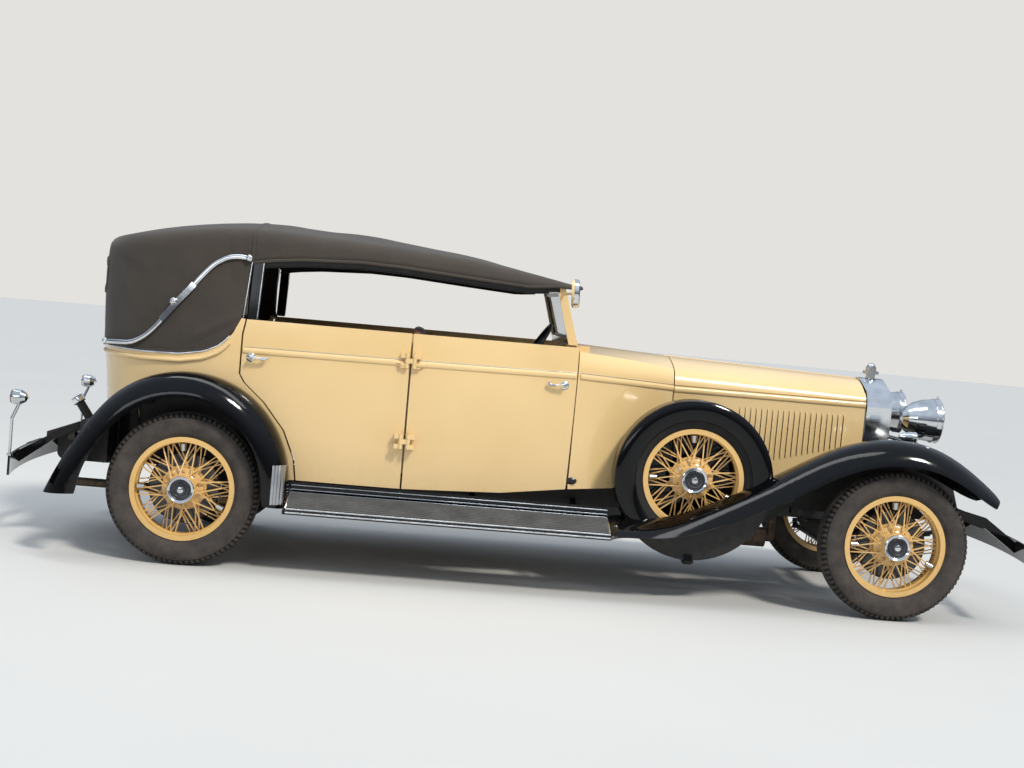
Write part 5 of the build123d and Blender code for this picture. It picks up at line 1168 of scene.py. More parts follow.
def make_lamps():
    """Glasses of head, side and tail lamps, with the headlamps' rims and bulb caps."""
    for side, sign in SIDES:
        x, y, z, radius = HEADLAMP
        dome = domed(radius, 0.014, 0.003)
        turned_piece("headlamp_glass_" + side, "lens", dome, (x, sign * y, z), "X", 56)
        rim = Shape()
        reach = radius + 0.003
        ring = [Vector((x - 0.001, sign * y + reach * math.cos(a), z + reach * math.sin(a)))
                for a in spread(0, 2 * math.pi * 63 / 64, 64)]
        rim.tube(ring, round_section(0.0062, 10), up=(1, 0, 0), closed=True)
        rim.tube([(x - 0.004, sign * y, z + radius + 0.006), (x - 0.004, sign * y, z + radius + 0.020)],
                 round_section(0.006, 10), up=(1, 0, 0))
        rim.piece("headlamp_rim_" + side, "chrome", "car")
        turned_piece("headlamp_bulb_cap_" + side, "nickel", [(-0.001, 0.030), (0.004, 0.028), (0.006, 0.0)],
                     (x - 0.003, sign * y, z), "X", 24)
        x, y, z, radius = SIDE_LAMP
        dome = domed(radius, 0.008, 0.002)
        turned_piece("side_lamp_glass_" + side, "lens", dome, (x, sign * y, z), "X", 32)
        x, y, z, radius = TAIL_LAMP
        dome = domed(radius, 0.009, 0.002)
        turned_piece("tail_lamp_glass_" + side, "red", dome, (x, sign * y, z), "X", 40, -1)


# Mouldings and beads that follow the coachwork's skin

# The waist moulding's top edge as (x, z), and its runs: name, whether each side has its own CAD
# piece, that piece's name, and (rear x, front x)
BELT_TOP = [(-1.586, 1.172), (0.210, 1.182), (0.490, 1.168), (0.768, 1.152), (0.776, 1.1462),
            (0.900, 1.1462), (1.330, 1.1450), (1.900, 1.1430)]
BELT_LINE_END = 0.77
BAND_HOLLOW = 0.003
BELT_RUNS = [
    ("rear_door", True, "rear_door_", (-1.578, -0.700)),
    ("front_door", True, "front_door_", (-0.684, 0.200)),
    ("scuttle", False, "scuttle", (0.208, 0.769)),
    ("bonnet_side", True, "bonnet_side_", (0.777, 1.893)),
]


def skin_band(tree, path, height, proud, side, finish, name, body):
    """A half-round band lying on the skin; path gives (x, top z) points."""
    rows = []
    for x, top in path:
        row = []
        for t in spread(0.0, 1.0, 9):
            found = skin(tree, x, top - height * (1 - t), side)
            if found is None:
                continue
            hit, normal = found
            stand = proud * math.sin(math.pi * t) ** 0.55 if 0 < t < 1 else -0.001
            row.append(hit + normal * stand)
        if len(row) < 9:
            continue
        inward = Vector((0, -side * BAND_HOLLOW, 0))
        row += [row[-1] + inward, row[0] + inward]
        rows.append(row)
    if len(rows) > 1:
        loft(rows, name, finish, body)


def make_mouldings():
    """Waist moulding, split where the doors and bonnet open, with a fine bright line along its top."""
    sizes = bpy.context.scene.tourer_sizes
    for side, sign in SIDES:
        for name, sided, node, (rear, front) in BELT_RUNS:
            cad = node + side if sided else node
            body = cad if sided else "car"
            tree = surface_of(cad)
            path = [(x, between(BELT_TOP, x)) for x in spread(rear, front, 40)]
            skin_band(tree, path, sizes.moulding_height, sizes.moulding_proud, sign, "cream",
                      "belt_" + name + "_" + side, body)
            line = [(x, z + 0.005) for x, z in path if x < BELT_LINE_END]
            if line:
                skin_band(tree, line, 0.004, 0.002, sign, "nickel", "belt_line_" + name + "_" + side, body)


def make_hood_bead():
    """Bright bead where the hood meets the body, and the cream moulding under it."""
    tree = surface_of("soft_top")
    body_tree = surface_of("rear_body")
    bead = []
    lower = []
    for k in range(97):
        angle = tail_angle(k, 96)
        point = base_point(tree, angle)
        if point is None:
            continue
        out = Vector((-math.sin(angle), math.cos(angle), 0))
        bead.append(point + out * 0.004 + Vector((0, 0, -0.004)))
        z = point.z - 0.040
        hit, normal, _, _ = body_tree.ray_cast(Vector((HOOD_CORE.x, 0, z)) + out * 2.0, -out)
        if hit is not None:
            lower.append(hit + normal * 0.002)
    shape = Shape()
    shape.tube(bead, round_section(0.0055, 10))
    shape.piece("hood_bead", "chrome", "car")
    moulding = Shape()
    moulding.tube(lower, round_section(0.013))
    moulding.piece("quarter_moulding", "cream", "car")


# Each quarter's beads and channel: where the cloth beside them is sought, as (x, z), their feet and
# rise in z, and each one's x at its foot and at its head
QUARTER_SEEN = ((-1.600, 1.345), (-1.600, 1.600))
QUARTER_BEAD_Z = (1.328, 0.294)
QUARTER_BEAD_X = ((-1.592, -1.570), (-1.520, -1.508))
QUARTER_CHANNEL_Z = (1.325, 0.297)
QUARTER_CHANNEL_X = (-1.546, 0.010)


def make_quarter_posts():
    """Bright beads and a black channel at the front of each hood quarter."""
    tree = surface_of("soft_top")
    for side, sign in SIDES:
        foot, head = (skin(tree, *place, sign) for place in QUARTER_SEEN)
        if foot is None or head is None:
            continue
        low_y, high_y = foot[0].y, head[0].y
        beads = Shape()
        low_z, rise = QUARTER_BEAD_Z
        for x_low, x_high in QUARTER_BEAD_X:
            line = [(x_low + (x_high - x_low) * t, low_y + (high_y - low_y) * t + sign * 0.003,
                     low_z + rise * t) for t in spread(0, 1, 14)]
            beads.tube(line, round_section(0.0048, 10), up=(1, 0, 0))
        beads.piece("quarter_beads_" + side, "chrome", "car")
        channel = Shape()
        section = [(-0.024, -0.006), (0.024, -0.006), (0.024, 0.001), (0.006, 0.001), (0.006, 0.004),
                   (-0.006, 0.004), (-0.006, 0.001), (-0.024, 0.001)]
        low_x, lean = QUARTER_CHANNEL_X
        low_z, rise = QUARTER_CHANNEL_Z
        line = [(low_x + lean * t, low_y + (high_y - low_y) * t, low_z + rise * t)
                for t in spread(0, 1, 10)]
        channel.tube(line, section, up=(0, sign, 0))
        channel.piece("quarter_channel_" + side, "black", "car", smooth=False)


# Bonnet louvres

LOUVRE_FIRST = 1.160
LOUVRE_PITCH = 0.032
LOUVRE_TOP = 1.060
LOUVRE_WIDTH = 0.0135
LOUVRE_STAND = 0.0075
LOUVRE_METAL = 0.0014


def make_louvres():
    """Pressed louvres: each a quarter-round hood over its slot, open to the rear, along a rising foot."""
    for side, sign in SIDES:
        tree = surface_of("bonnet_side_" + side)
        shape = Shape()
        for index in range(bpy.context.scene.tourer_sizes.louvre_count):
            x = LOUVRE_FIRST + LOUVRE_PITCH * index
            foot = 0.720 + 0.008 * index
            rows = []
            for t in spread(0, 1, 15):
                z = foot - 0.006 + (LOUVRE_TOP - foot + 0.012) * t
                front = skin(tree, x + 0.0165, z, sign)
                if front is None:
                    continue
                hit, normal = front
                ends = min(1.0, 7 * t, 7 * (1 - t)) ** 0.5
                row = []
                for u in spread(0, 1, 6):
                    stand = LOUVRE_STAND * ends * math.sin(u * math.pi / 2) + 0.0004
                    row.append(hit + Vector((-LOUVRE_WIDTH * u, 0, 0)) + normal * stand)
                back = [p - normal * LOUVRE_METAL for p in reversed(row)]
                rows.append(row + back)
            if len(rows) > 2:
                shape.grid(rows, closed_across=True, caps=True)
        shape.piece("louvres_" + side, "cream", "bonnet_side_" + side)


# Running boards

BOARD_X = (-1.276, 0.430)
BOARD_Y = (0.664, 0.888)
MAT_THICKNESS = 0.0022
RIB_RADIUS = 0.0034
# Bright strips at the board's outer foot and along its inner valance, as (y, z, radius)
BOARD_STRIPS = [(0.9045, 0.3400, 0.0042), (0.6590, 0.4560, 0.0040), (0.6590, 0.4330, 0.0040)]
KICK_REAR = -1.360
KICK_LENGTH = 0.062
KICK_Z = (0.372, 0.700)
KICK_FLUTES = 4


def path_tree():
    """Copies of a form at equal steps along a curve."""
    tree, source, sink = node_tree("forms_along_a_path", [
        ("Path", "NodeSocketObject"), ("Form", "NodeSocketObject"), ("Count", "NodeSocketInt"),
        ("Finish", "NodeSocketMaterial")])
    path = add_node(tree, "GeometryNodeObjectInfo", {"Object": source.outputs["Path"]})
    points = add_node(tree, "GeometryNodeCurveToPoints",
                      {"Curve": path.outputs["Geometry"], "Count": source.outputs["Count"]})
    return end_tree(tree, source, sink, points.outputs["Points"])


def board_profile(tree, sign, count=25):
    """The board's top across its width, at its middle."""
    profile = []
    for y in spread(*BOARD_Y, count):
        hit, _, _, _ = tree.ray_cast(Vector((-0.40, sign * y, 0.60)), Vector((0, 0, -1)))
        profile.append(Vector((0, sign * y, hit.z + 0.0005)))
    return profile


def curve_of(points, name):
    """A straight-sided curve through points."""
    data = bpy.data.curves.new(name, "CURVE")
    data.dimensions = "3D"
    line = data.splines.new("POLY")
    line.points.add(len(points) - 1)
    for spot, point in zip(line.points, points):
        spot.co = (*point, 1.0)
    holder = bpy.data.objects.new(name, data)
    bpy.context.scene.collection.objects.link(holder)
    return holder


def board_mat(side, profile):
    """The rubber mat on one board, with ribs along it."""
    rows = []
    for x in spread(*BOARD_X, 40):
        top = [Vector((x, p.y, p.z + MAT_THICKNESS)) for p in profile]
        rows.append(top + [Vector((x, p.y, p.z - 0.001)) for p in reversed(profile)])
    mat = Shape()
    mat.grid(rows, closed_across=True, caps=True)
    rib = Shape()
    rib.tube([(x, 0, MAT_THICKNESS) for x in spread(BOARD_X[0] + 0.012, BOARD_X[1] - 0.012, 24)],
             round_section(RIB_RADIUS, 8, 0.9))
    path = curve_of(profile[1:-1], "board_path")
    ribs = {"Path": path, "Count": bpy.context.scene.tourer_sizes.rib_count}
    add_grown(mat, grown_mesh(path_tree(), rib, "rubber", ribs))
    bpy.data.objects.remove(path)
    mat.piece("board_mat_" + side, "rubber", "car")


def make_running_boards():
    """Ribbed rubber mats, bright edge strips, valance strips and the ribbed kick plates."""
    tree = surface_of("running_boards")
    for side, sign in SIDES:
        profile = board_profile(tree, sign)
        board_mat(side, profile)
        inner, outer = profile[0], profile[-1]
        edges = [(inner.y - sign * 0.004, inner.z + 0.003, 0.0042),
                 (outer.y + sign * 0.004, outer.z + 0.001, 0.0048)]
        edges += [(sign * y, z, radius) for y, z, radius in BOARD_STRIPS]
        strips = Shape()
        for y, z, radius in edges:
            strips.tube([(x, y, z) for x in spread(BOARD_X[0], BOARD_X[1] + 0.004, 8)],
                        round_section(radius, 10))
        for x in (BOARD_X[0] - 0.001, BOARD_X[1] + 0.001):
            across = [Vector((x, p.y, p.z + 0.002)) for p in profile]
            strips.tube(across, round_section(0.0038, 8), up=(1, 0, 0))
        strips.piece("board_strips_" + side, "chrome", "car")
        kick_plate(side, sign)


def kick_plate(side, sign):
    """Ribbed aluminium plate on the foot of the rear wing."""
    tree = surface_of("rear_wings")
    rows = []
    for z in spread(*KICK_Z, 30):
        row = []
        for step in spread(0, 1, 31):
            found = skin(tree, KICK_REAR + KICK_LENGTH * step, z, sign)
            if found is not None:
                hit, normal = found
                rise = 0.0020 + 0.0050 * abs(math.sin(step * KICK_FLUTES * math.pi)) ** 0.7
                row.append(hit + normal * rise)
        if len(row) == 31:
            rows.append(row + [p - Vector((0, sign * 0.005, 0)) for p in (row[-1], row[0])])
    loft(rows, "kick_plate_" + side, "aluminium")


# Door fittings and mirror

# Each handle's door, pivot x, height and lever tip x
HANDLES = [("front_door_", 0.140, 1.112, 0.062), ("rear_door_", -1.535, 1.122, -1.457)]
HANDLE_BOSS = [(-0.002, 0.0235), (0.003, 0.0240), (0.006, 0.0215), (0.009, 0.0130), (0.020, 0.0095),
               (0.030, 0.0100), (0.040, 0.0098), (0.0445, 0.0060), (0.0450, 0.0)]
LEVER_STAND = 0.034
LEVER_END = 1.18
# The mirror's middle (y, z) and radius
MIRROR = (-0.792, 1.606, 0.0755)


def make_door_fittings():
    """Bright lever handles on turned bosses; each lever dips, swells and curls up at its end."""
    for node, x0, z, x1 in HANDLES:
        toward = 1 if x1 > x0 else -1
        length = abs(x1 - x0)
        for side, sign in SIDES:
            cad = node + side
            y = skin(surface_of(cad), x0 - 0.030 * toward, z, sign)[0].y
            fitting = Shape()
            fitting.turned(HANDLE_BOSS, (x0, y, z), "Y", 28, sign)
            line = []
            for t in spread(0, LEVER_END, 22):
                dip = 0.0016 * math.sin(2 * math.pi * t) if t < 1 else 0.010 * (t - 1) / 0.18
                line.append((x0 + toward * length * t, y + sign * LEVER_STAND, z - 0.0014 + dip))
            start = len(fitting.vertices)
            fitting.tube(line, round_section(0.0078))
            for point in fitting.vertices[start:]:
                t = (point.x - x0) * toward / length
                if t > 0.55:
                    swell = 1.0 + 0.10 * math.sin(math.pi * (t - 0.55) / 0.63)
                    point.z = z + (point.z - z) * swell
            fitting.piece("handle_" + cad, "chrome", cad)


def make_mirror():
    """Round mirror on the near screen pillar: a plated back shell, its rim and the glass."""
    y, z, radius = MIRROR
    tree = surface_of("windscreen_frame")
    ahead, _, _, _ = tree.ray_cast(Vector((1.0, y, z)), Vector((-1, 0, 0)))
    behind, _, _, _ = tree.ray_cast(Vector((-1.0, y, z)), Vector((1, 0, 0)))
    thick = ahead.x - behind.x
    turned_piece("mirror_shell", "chrome",
                 [(-thick - 0.0015, radius - 0.006), (-thick - 0.0030, radius - 0.003), (-thick, radius),
                  (0.0, radius), (0.004, radius - 0.006), (0.009, radius * 0.6), (0.011, radius * 0.25),
                  (0.0115, 0.0)], (ahead.x, y, z), "X", 48)
    turned_piece("mirror_glass", "nickel",
                 [(-0.0010, radius - 0.007), (-0.0014, radius * 0.5), (-0.0014, 0.0)],
                 (behind.x, y, z), "X", 48)


# Upholstery

# Outlines of the cushions and backs as (x, z)
FRONT_CUSHION = [(-0.590, 0.600), (-0.086, 0.600), (-0.074, 0.800), (-0.112, 0.856), (-0.320, 0.852),
                 (-0.520, 0.840), (-0.592, 0.780)]
FRONT_BACK = [(-0.530, 0.846), (-0.602, 1.236), (-0.640, 1.325), (-0.698, 1.340), (-0.712, 1.296),
              (-0.660, 0.940), (-0.640, 0.820), (-0.580, 0.800)]
REAR_CUSHION = [(-1.640, 0.746), (-1.084, 0.746), (-1.064, 0.886), (-1.112, 0.932), (-1.340, 0.922),
                (-1.560, 0.906), (-1.640, 0.860)]
REAR_BACK = [(-1.570, 0.912), (-1.642, 1.286), (-1.690, 1.326), (-1.752, 1.290), (-1.704, 0.930),
             (-1.655, 0.790), (-1.600, 0.860)]
# Name, outline, half width and the CAD seat that each stands for
PADS = [("front_cushion", FRONT_CUSHION, 0.543, "front_seat"),
        ("front_back", FRONT_BACK, 0.543, "front_seat"),
        ("rear_cushion", REAR_CUSHION, 0.573, "rear_seat"),
        ("rear_back", REAR_BACK, 0.573, "rear_seat")]
PAD_END = 0.028
SEAM_HALF = 0.010


def rounded(points, times=3):
    """Cuts the corners of a closed outline several times over."""
    for _ in range(times):
        cut = []
        for k, (x, z) in enumerate(points):
            nx, nz = points[(k + 1) % len(points)]
            cut += [(near * x + far * nx, near * z + far * nz) for near, far in ((0.75, 0.25), (0.25, 0.75))]
        points = cut
    return points


def cushion(name, outline, half, cad_node):
    """A bench pad with sewn channels, full between its seams and pulled in at its ends."""
    channels = bpy.context.scene.tourer_sizes.seat_channels
    section = rounded(outline)
    middle = (sum(p[0] for p in section) / len(section), sum(p[1] for p in section) / len(section))
    pitch = 2 * half / channels
    rows = []
    count = channels * 12
    for k in range(count + 1):
        y = -half + 2 * half * k / count
        across = (y + half) / pitch
        seam = abs(across - round(across)) * pitch
        groove = 0.012 * math.exp(-(seam / SEAM_HALF) ** 2)
        edge = half - abs(y)
        if edge < PAD_END:
            groove += 0.026 * (1 - math.sqrt(max(0.0, 1 - (1 - edge / PAD_END) ** 2)))
        row = []
        for x, z in section:
            out = Vector((x - middle[0], 0, z - middle[1]))
            reach = out.length
            dip = 0.002 * value_noise.noise(Vector((x * 7, y * 7, z * 7)))
            row.append(Vector((middle[0], y, middle[1])) + out * ((reach - groove + dip) / reach))
        rows.append(row)
    piece = loft(rows, name, "hide", replaced=(cad_node,))
    return rows


def make_seats():
    """Front and rear benches in channelled hide, with piping along their edges."""
    for name, outline, half, cad_node in PADS:
        rows = cushion(name, outline, half, cad_node)
        piping = Shape()
        for k in (3, len(rows) - 4):
            piping.tube(rows[k], round_section(0.0035, 6), up=(0, 1, 0), closed=True)
        piping.piece(name + "_piping", "hide", "car")


DOOR_CARD_Z = (0.640, 1.285)
DOOR_CARDS = [("front_door_", (-0.640, 0.150)), ("rear_door_", (-1.230, -0.745))]
CARPETS = [("carpet_front", -0.055, 0.440), ("carpet_rear", -0.970, -0.735)]
CARPET_HALF = 0.54


def make_door_cards():
    """Hide-covered door cards, puffed at their edges and pleated above the pocket line."""
    low, high = DOOR_CARD_Z
    for node, (rear, front) in DOOR_CARDS:
        for side, sign in SIDES:
            cad = node + side
            tree = surface_of(cad)
            rows = []
            for x in spread(rear, front, 34):
                row = []
                for z in (low + (high - low) * t for t in spread(0, 1, 22)):
                    hit, _, _, _ = tree.ray_cast(Vector((x, 0, z)), Vector((0, sign, 0)))
                    if hit is None:
                        continue
                    edge = min(x - rear, front - x, z - low, high - z)
                    puff = 0.004 + 0.004 * min(1.0, edge / 0.02)
                    pleat = 0.0025 * abs(math.sin(math.pi * (x - rear) / 0.075)) if z > 0.95 else 0.0
                    row.append(Vector((x, hit.y - sign * (puff + pleat), z)))
                if len(row) == 22:
                    back = [Vector((p.x, p.y + sign * 0.0035, p.z)) for p in (row[-1], row[0])]
                    rows.append(row + back)
            loft(rows, "door_card_" + cad, "hide", cad)


def make_carpets():
    """Looped carpet on both floors."""
    for name, rear, front in CARPETS:
        rows = []
        for x in spread(rear, front, 20):
            top = [Vector((x, y, 0.5955 + 0.001 * value_noise.noise(Vector((x * 20, y * 20, 0)))))
                   for y in spread(-CARPET_HALF, CARPET_HALF, 30)]
            rows.append(top + [Vector((x, CARPET_HALF, 0.5925)), Vector((x, -CARPET_HALF, 0.5925))])
        loft(rows, name, "carpet")


# Wheel arches and spare wells

PLATE = 0.002
# Inner arches: their ends, the rays' place under the wing, and where the wing is high enough
LINER_X = (-2.400, -1.330)
LINER_RAY = (0.725, 0.42)
LINER_Y = 0.700
LINER_FOOT = 0.500
LINER_ROOF = 0.56
LINER_STAND = 0.0065
# Splash guards: their ends, and how their front corner slopes down
SPLASH_X = (1.500, 2.430)
SPLASH_Y = 0.440
SPLASH_FOOT = 0.520
SPLASH_TOP = 0.80
SPLASH_CORNER_X = 2.36
SPLASH_TIP_X = 2.445
SPLASH_SLOPE = 3.2
LIP = [(0.090, 0.4285), (0.097, 0.4200), (0.1035, 0.4000), (0.1050, 0.3780), (0.1030, 0.3500),
       (0.0985, 0.3280), (0.0945, 0.3180), (0.0915, 0.3160), (0.0905, 0.3190), (0.0945, 0.3350),
       (0.0995, 0.3600), (0.1000, 0.3800), (0.0980, 0.4000), (0.0900, 0.4200), (0.088, 0.4285)]
PAN_RADIUS = 0.432
PAN_Y = 0.7620
CLIP_LINE = [(0.752, 0.262), (0.757, 0.232), (0.742, 0.214), (0.700, 0.214)]
CLIP_SECTION = [(-0.022, -0.003), (0.022, -0.003), (0.022, 0.003), (-0.022, 0.003)]


def plate_of(rows, sign, name):
    """A thin closed steel plate from rows of points, its back face towards the car's middle."""
    back = Vector((0, sign * PLATE, 0))
    loft([row + [p - back for p in reversed(row)] for row in rows], name, "chassis")


def make_arch_liners():
    """Black inner arches between the rear wings and the body side."""
    wings = surface_of("rear_wings")
    body = surface_of("rear_body")
    for side, sign in SIDES:
        rows = []
        for x in spread(*LINER_X, 110):
            roof, _, _, _ = wings.ray_cast(Vector((x, sign * LINER_RAY[0], LINER_RAY[1])), Vector((0, 0, 1)))
            if roof is None or roof.z < LINER_ROOF:
                continue
            row = []
            y = sign * LINER_Y
            for z in spread(roof.z - 0.001, LINER_FOOT, 14):
                found = skin(body, x, z, sign)
                if found and found[0].y * sign > 0.5:
                    y = found[0].y + sign * LINER_STAND
                row.append(Vector((x, y, z)))
            rows.append(row)
        plate_of(rows, sign, "arch_liner_" + side)


def make_splash_guards():
    """Black inner guards from the frame up to the front wings, ahead of and behind the wheels."""
    wings = surface_of("front_wings")
    for side, sign in SIDES:
        rows = []
        for x in spread(*SPLASH_X, 60):
            roof, _, _, _ = wings.ray_cast(Vector((x, sign * SPLASH_Y, 0.50)), Vector((0, 0, 1)))
            top = roof.z - 0.001 if roof is not None else SPLASH_TOP
            if x > SPLASH_CORNER_X:
                top = min(top, SPLASH_FOOT + 0.02 + (SPLASH_TIP_X - x) * SPLASH_SLOPE)
            rows.append([Vector((x, sign * SPLASH_Y, z)) for z in spread(top, SPLASH_FOOT, 10)])
        plate_of(rows, sign, "splash_guard_" + side)


def spare_pan(wings, side, sign):
    """The round pan that closes a spare wheel's well under the wing."""
    rows = []
    for step in spread(-0.985, 0.985, 60):
        x = SPARE[0] + PAN_RADIUS * step
        low = SPARE[2] - PAN_RADIUS * math.sqrt(1 - step * step)
        roof, _, _, _ = wings.ray_cast(Vector((x, sign * 0.760, 0.10)), Vector((0, 0, 1)))
        top = roof.z if roof is not None and roof.z < 0.80 else 0.40
        if top - low < 0.004:
            continue
        row = []
        for t in spread(0, 1, 12):
            belly = math.sin(math.pi * t * 0.5)
            row.append(Vector((x, sign * (PAN_Y - 0.018 * belly ** 3), top + (low - top) * t)))
        rows.append(row)
    plate_of(rows, sign, "spare_pan_" + side)


def make_spare_lips():
    """Domed lips of the spare wheel covers, with the pans and clips under them."""
    wings = surface_of("front_wings")
    for side, sign in SIDES:
        centre = (SPARE[0], sign * SPARE[1], SPARE[2])
        turned_piece("spare_lip_" + side, "black", LIP + LIP[:1], centre, "Y", 96, sign)
        spare_pan(wings, side, sign)
        clip = Shape()
        clip.tube([(SPARE[0], sign * y, z) for y, z in CLIP_LINE], CLIP_SECTION, up=(0, 1, 0.001))
        clip.piece("spare_clip_" + side, "black", "car")


def make_board_ends():
    """Black valance from each running board's front end into the spare wheel's cover."""
    valance = ((0.6475, 0.398), (0.6575, 0.398), (0.6575, 0.478), (0.6475, 0.478))
    shelf = ((0.650, 0.400), (0.700, 0.404), (0.760, 0.403), (0.760, 0.399), (0.700, 0.400), (0.650, 0.396))
    for side, sign in SIDES:
        panel = Shape()
        for section in (valance, shelf):
            rows = [[Vector((x, sign * y, z)) for y, z in section] for x in spread(BOARD_X[1], 0.560, 6)]
            panel.grid(rows, closed_across=True, caps=True)
        panel.piece("board_end_" + side, "black", "car", smooth=False)


# Hood irons and rails

IRON_LINE = [(-1.585, 1.640), (-1.640, 1.643), (-1.690, 1.636), (-1.730, 1.618), (-1.775, 1.585),
             (-1.830, 1.522), (-1.885, 1.450), (-1.950, 1.370), (-2.010, 1.290), (-2.060, 1.228),
             (-2.110, 1.182), (-2.165, 1.151)]
IRON_STAND = 0.016
# Where the iron runs on round the tail: first and last angle in degrees, and how many points
IRON_CORNER = (126, 146, 6)
IRON_FLAT = [(0.0165, -0.0035), (0.0165, 0.0035), (-0.0165, 0.0035), (-0.0165, -0.0035)]
CANT_SECTION = [(0.012, -0.017), (0.012, 0.014), (-0.012, 0.014), (-0.012, -0.017)]
SCREEN_SECTION = [(0.011, -0.009), (0.011, 0.009), (-0.011, 0.009), (-0.011, -0.009)]


def ball(shape, centre, radius, rings=8, sides=16):
    """Adds a ball to a shape."""
    rows = []
    for k in range(rings + 1):
        a = math.pi * k / rings
        rows.append([centre + Vector((radius * math.sin(a) * math.cos(b), radius * math.sin(a) * math.sin(b),
                                      radius * math.cos(a))) for b in ring_angles(sides)])
    shape.grid(rows, closed_across=True)


def smoothed(points, each=5):
    """Points on a smooth curve through the given ones."""
    line = []
    for k in range(len(points) - 1):
        p0, p1, p2, p3 = (points[max(0, min(len(points) - 1, k + step))] for step in (-1, 0, 1, 2))
        for j in range(each):
            t = j / each
            line.append(0.5 * ((2 * p1) + (p2 - p0) * t + (2 * p0 - 5 * p1 + 4 * p2 - p3) * t * t
                               + (3 * p1 - p0 - 3 * p2 + p3) * t ** 3))
    return line + [points[-1]]


def make_hood_irons():
    """Flattened S-shaped irons on the hood's sides, with ball ends and a knuckle half-way."""
    hood = surface_of("soft_top")
    tail = surface_of("soft_top", "rear_body")
    for side, sign in SIDES:
        points = []
        outs = []
        for x, z in IRON_LINE:
            hit, normal = skin(hood, x, z, sign)
            points.append(hit + normal * IRON_STAND)
            outs.append(normal)
        first, last, count = IRON_CORNER
        for degrees in spread(first, last, count):
            angle = math.radians(degrees)
            z = 1.139 - 0.012 * (degrees - first) / (last - first)
            out = Vector((math.cos(angle), sign * math.sin(angle), 0))
            hit, _, _, _ = tail.ray_cast(Vector((-1.80, 0, z)) + out * RAY_START, -out)
            if hit is not None:
                points.append(hit + out * IRON_STAND)
                outs.append(out)
        line = smoothed(points)
        normals = smoothed(outs)
        iron = Shape()
        section = [(0.0125 * math.cos(a), 0.0062 * math.sin(a)) for a in ring_angles(14)]
        iron.tube(line, section, ups=normals)
        middle = points[7] + Vector((-0.012, sign * 0.006, 0.010))
        for spot, radius in ((points[0], 0.0205), (middle, 0.0225), (points[-1], 0.0205)):
            ball(iron, spot, radius)
        near = [k for k, p in enumerate(line) if -2.03 < p.x < -1.86]
        iron.tube([line[k] + normals[k] * 0.0055 for k in near], IRON_FLAT, ups=[normals[k] for k in near])
        iron.piece("hood_iron_" + side, "chrome", "car", replaced=("landau_irons",))


def make_cant_rails():
    """Black side rails of the hood frame under the roof's edges."""
    top = surface_of("soft_top")
    for side, sign in SIDES:
        line = []
        for x in spread(0.100, -1.560, 40):
            z = between(VALANCE, x)
            found = skin(top, x, z + 0.012, sign)
            y = found[0].y if found and found[0].y * sign > 0.4 else sign * 0.66
            line.append(Vector((x, y - sign * 0.024, z - 0.010)))
        rail = Shape()
        rail.tube(line, CANT_SECTION)
        rail.tube([p + Vector((0, -sign * 0.012, -0.020)) for p in line[2:]], round_section(0.006, 8))
        rail.piece("cant_rail_" + side, "chassis", "car", smooth=False)


def make_screen_surround():
    """Black strip round the windscreen's glass."""
    low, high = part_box("windscreen_glass")
    inset = 0.004
    half = high[1] - inset
    loop = [Vector((x, y, z)) for x, y, z in (
        (high[0] - inset, -half, low[2] + inset), (high[0] - inset, half, low[2] + inset),
        (low[0] + inset, half, high[2] - inset), (low[0] + inset, -half, high[2] - inset))]
    slope = (loop[2] - loop[1]).normalized().cross(Vector((0, 1, 0)))
    surround = Shape()
    for first, second in zip(loop, loop[1:] + loop[:1]):
        surround.tube([first + (second - first) * t for t in spread(0, 1, 6)], SCREEN_SECTION, up=slope)
    surround.piece("screen_surround", "bakelite", "car", smooth=False)


# Small fittings

VENT_PLACE = (0.225, 0.595)
VENT_RINGS = ((1.0, 0.001), (0.94, 0.005), (0.70, 0.008), (0.40, 0.0105), (0.12, 0.0115))
PLATE_RINGS = ((0.96, -0.001), (1.0, 0.0), (1.0, 0.004), (0.97, 0.006), (0.95, 0.0042), (0.90, 0.0040))
PLATES = [("front", 2.812, 0.400, 1), ("rear", -2.812, 0.455, -1)]
# Foot and top of the tank's cap, and its profile as (height, radius)
FILLER_CAP = ((-2.636, 0.290, 0.720), (-2.659, 0.290, 0.752))
FILLER_PROFILE = [(0.004, 0.0362), (0.006, 0.0385), (0.030, 0.0385), (0.036, 0.0372), (0.041, 0.0300),
                  (0.0435, 0.0150), (0.0438, 0.0004)]


def make_scuttle_vents():
    """Dark oval fitting low on each side of the scuttle."""
    tree = surface_of("scuttle")
    for side, sign in SIDES:
        place, _ = skin(tree, *VENT_PLACE, sign)
        rows = []
        for r, rise in VENT_RINGS:
            rows.append([place + Vector((0.032 * r * math.cos(a), sign * rise, 0.019 * r * math.sin(a)))
                         for a in ring_angles(28)])
        vent = Shape()
        vent.grid(rows, closed_across=True)
        vent.piece("scuttle_vent_" + side, "bakelite", "car")


def make_number_plates():
    """Blank plates with a raised edge, front and rear."""
    for name, x, z, sign in PLATES:
        corners = []
        for a in ring_angles(32):
            y = max(-1, min(1, math.cos(a) * 1.35)) * 0.170
            corners.append((y, max(-1, min(1, math.sin(a) * 1.35)) * 0.052))
        rows = [[Vector((x + sign * rise, y * grow, z + up * grow)) for y, up in corners]
                for grow, rise in PLATE_RINGS]
        loft(rows, "number_plate_" + name, "bakelite")


def make_filler_cap():
    """The fuel tank's cap, on its slanting neck."""
    foot, top = (Vector(p) for p in FILLER_CAP)
    along = (top - foot).normalized()
    level = Vector((0, 1, 0))
    over = along.cross(level)
    rows = [[foot + along * height + (level * math.cos(a) + over * math.sin(a)) * radius
             for a in ring_angles(36)] for height, radius in FILLER_PROFILE]
    loft(rows, "filler_cap", "chrome")


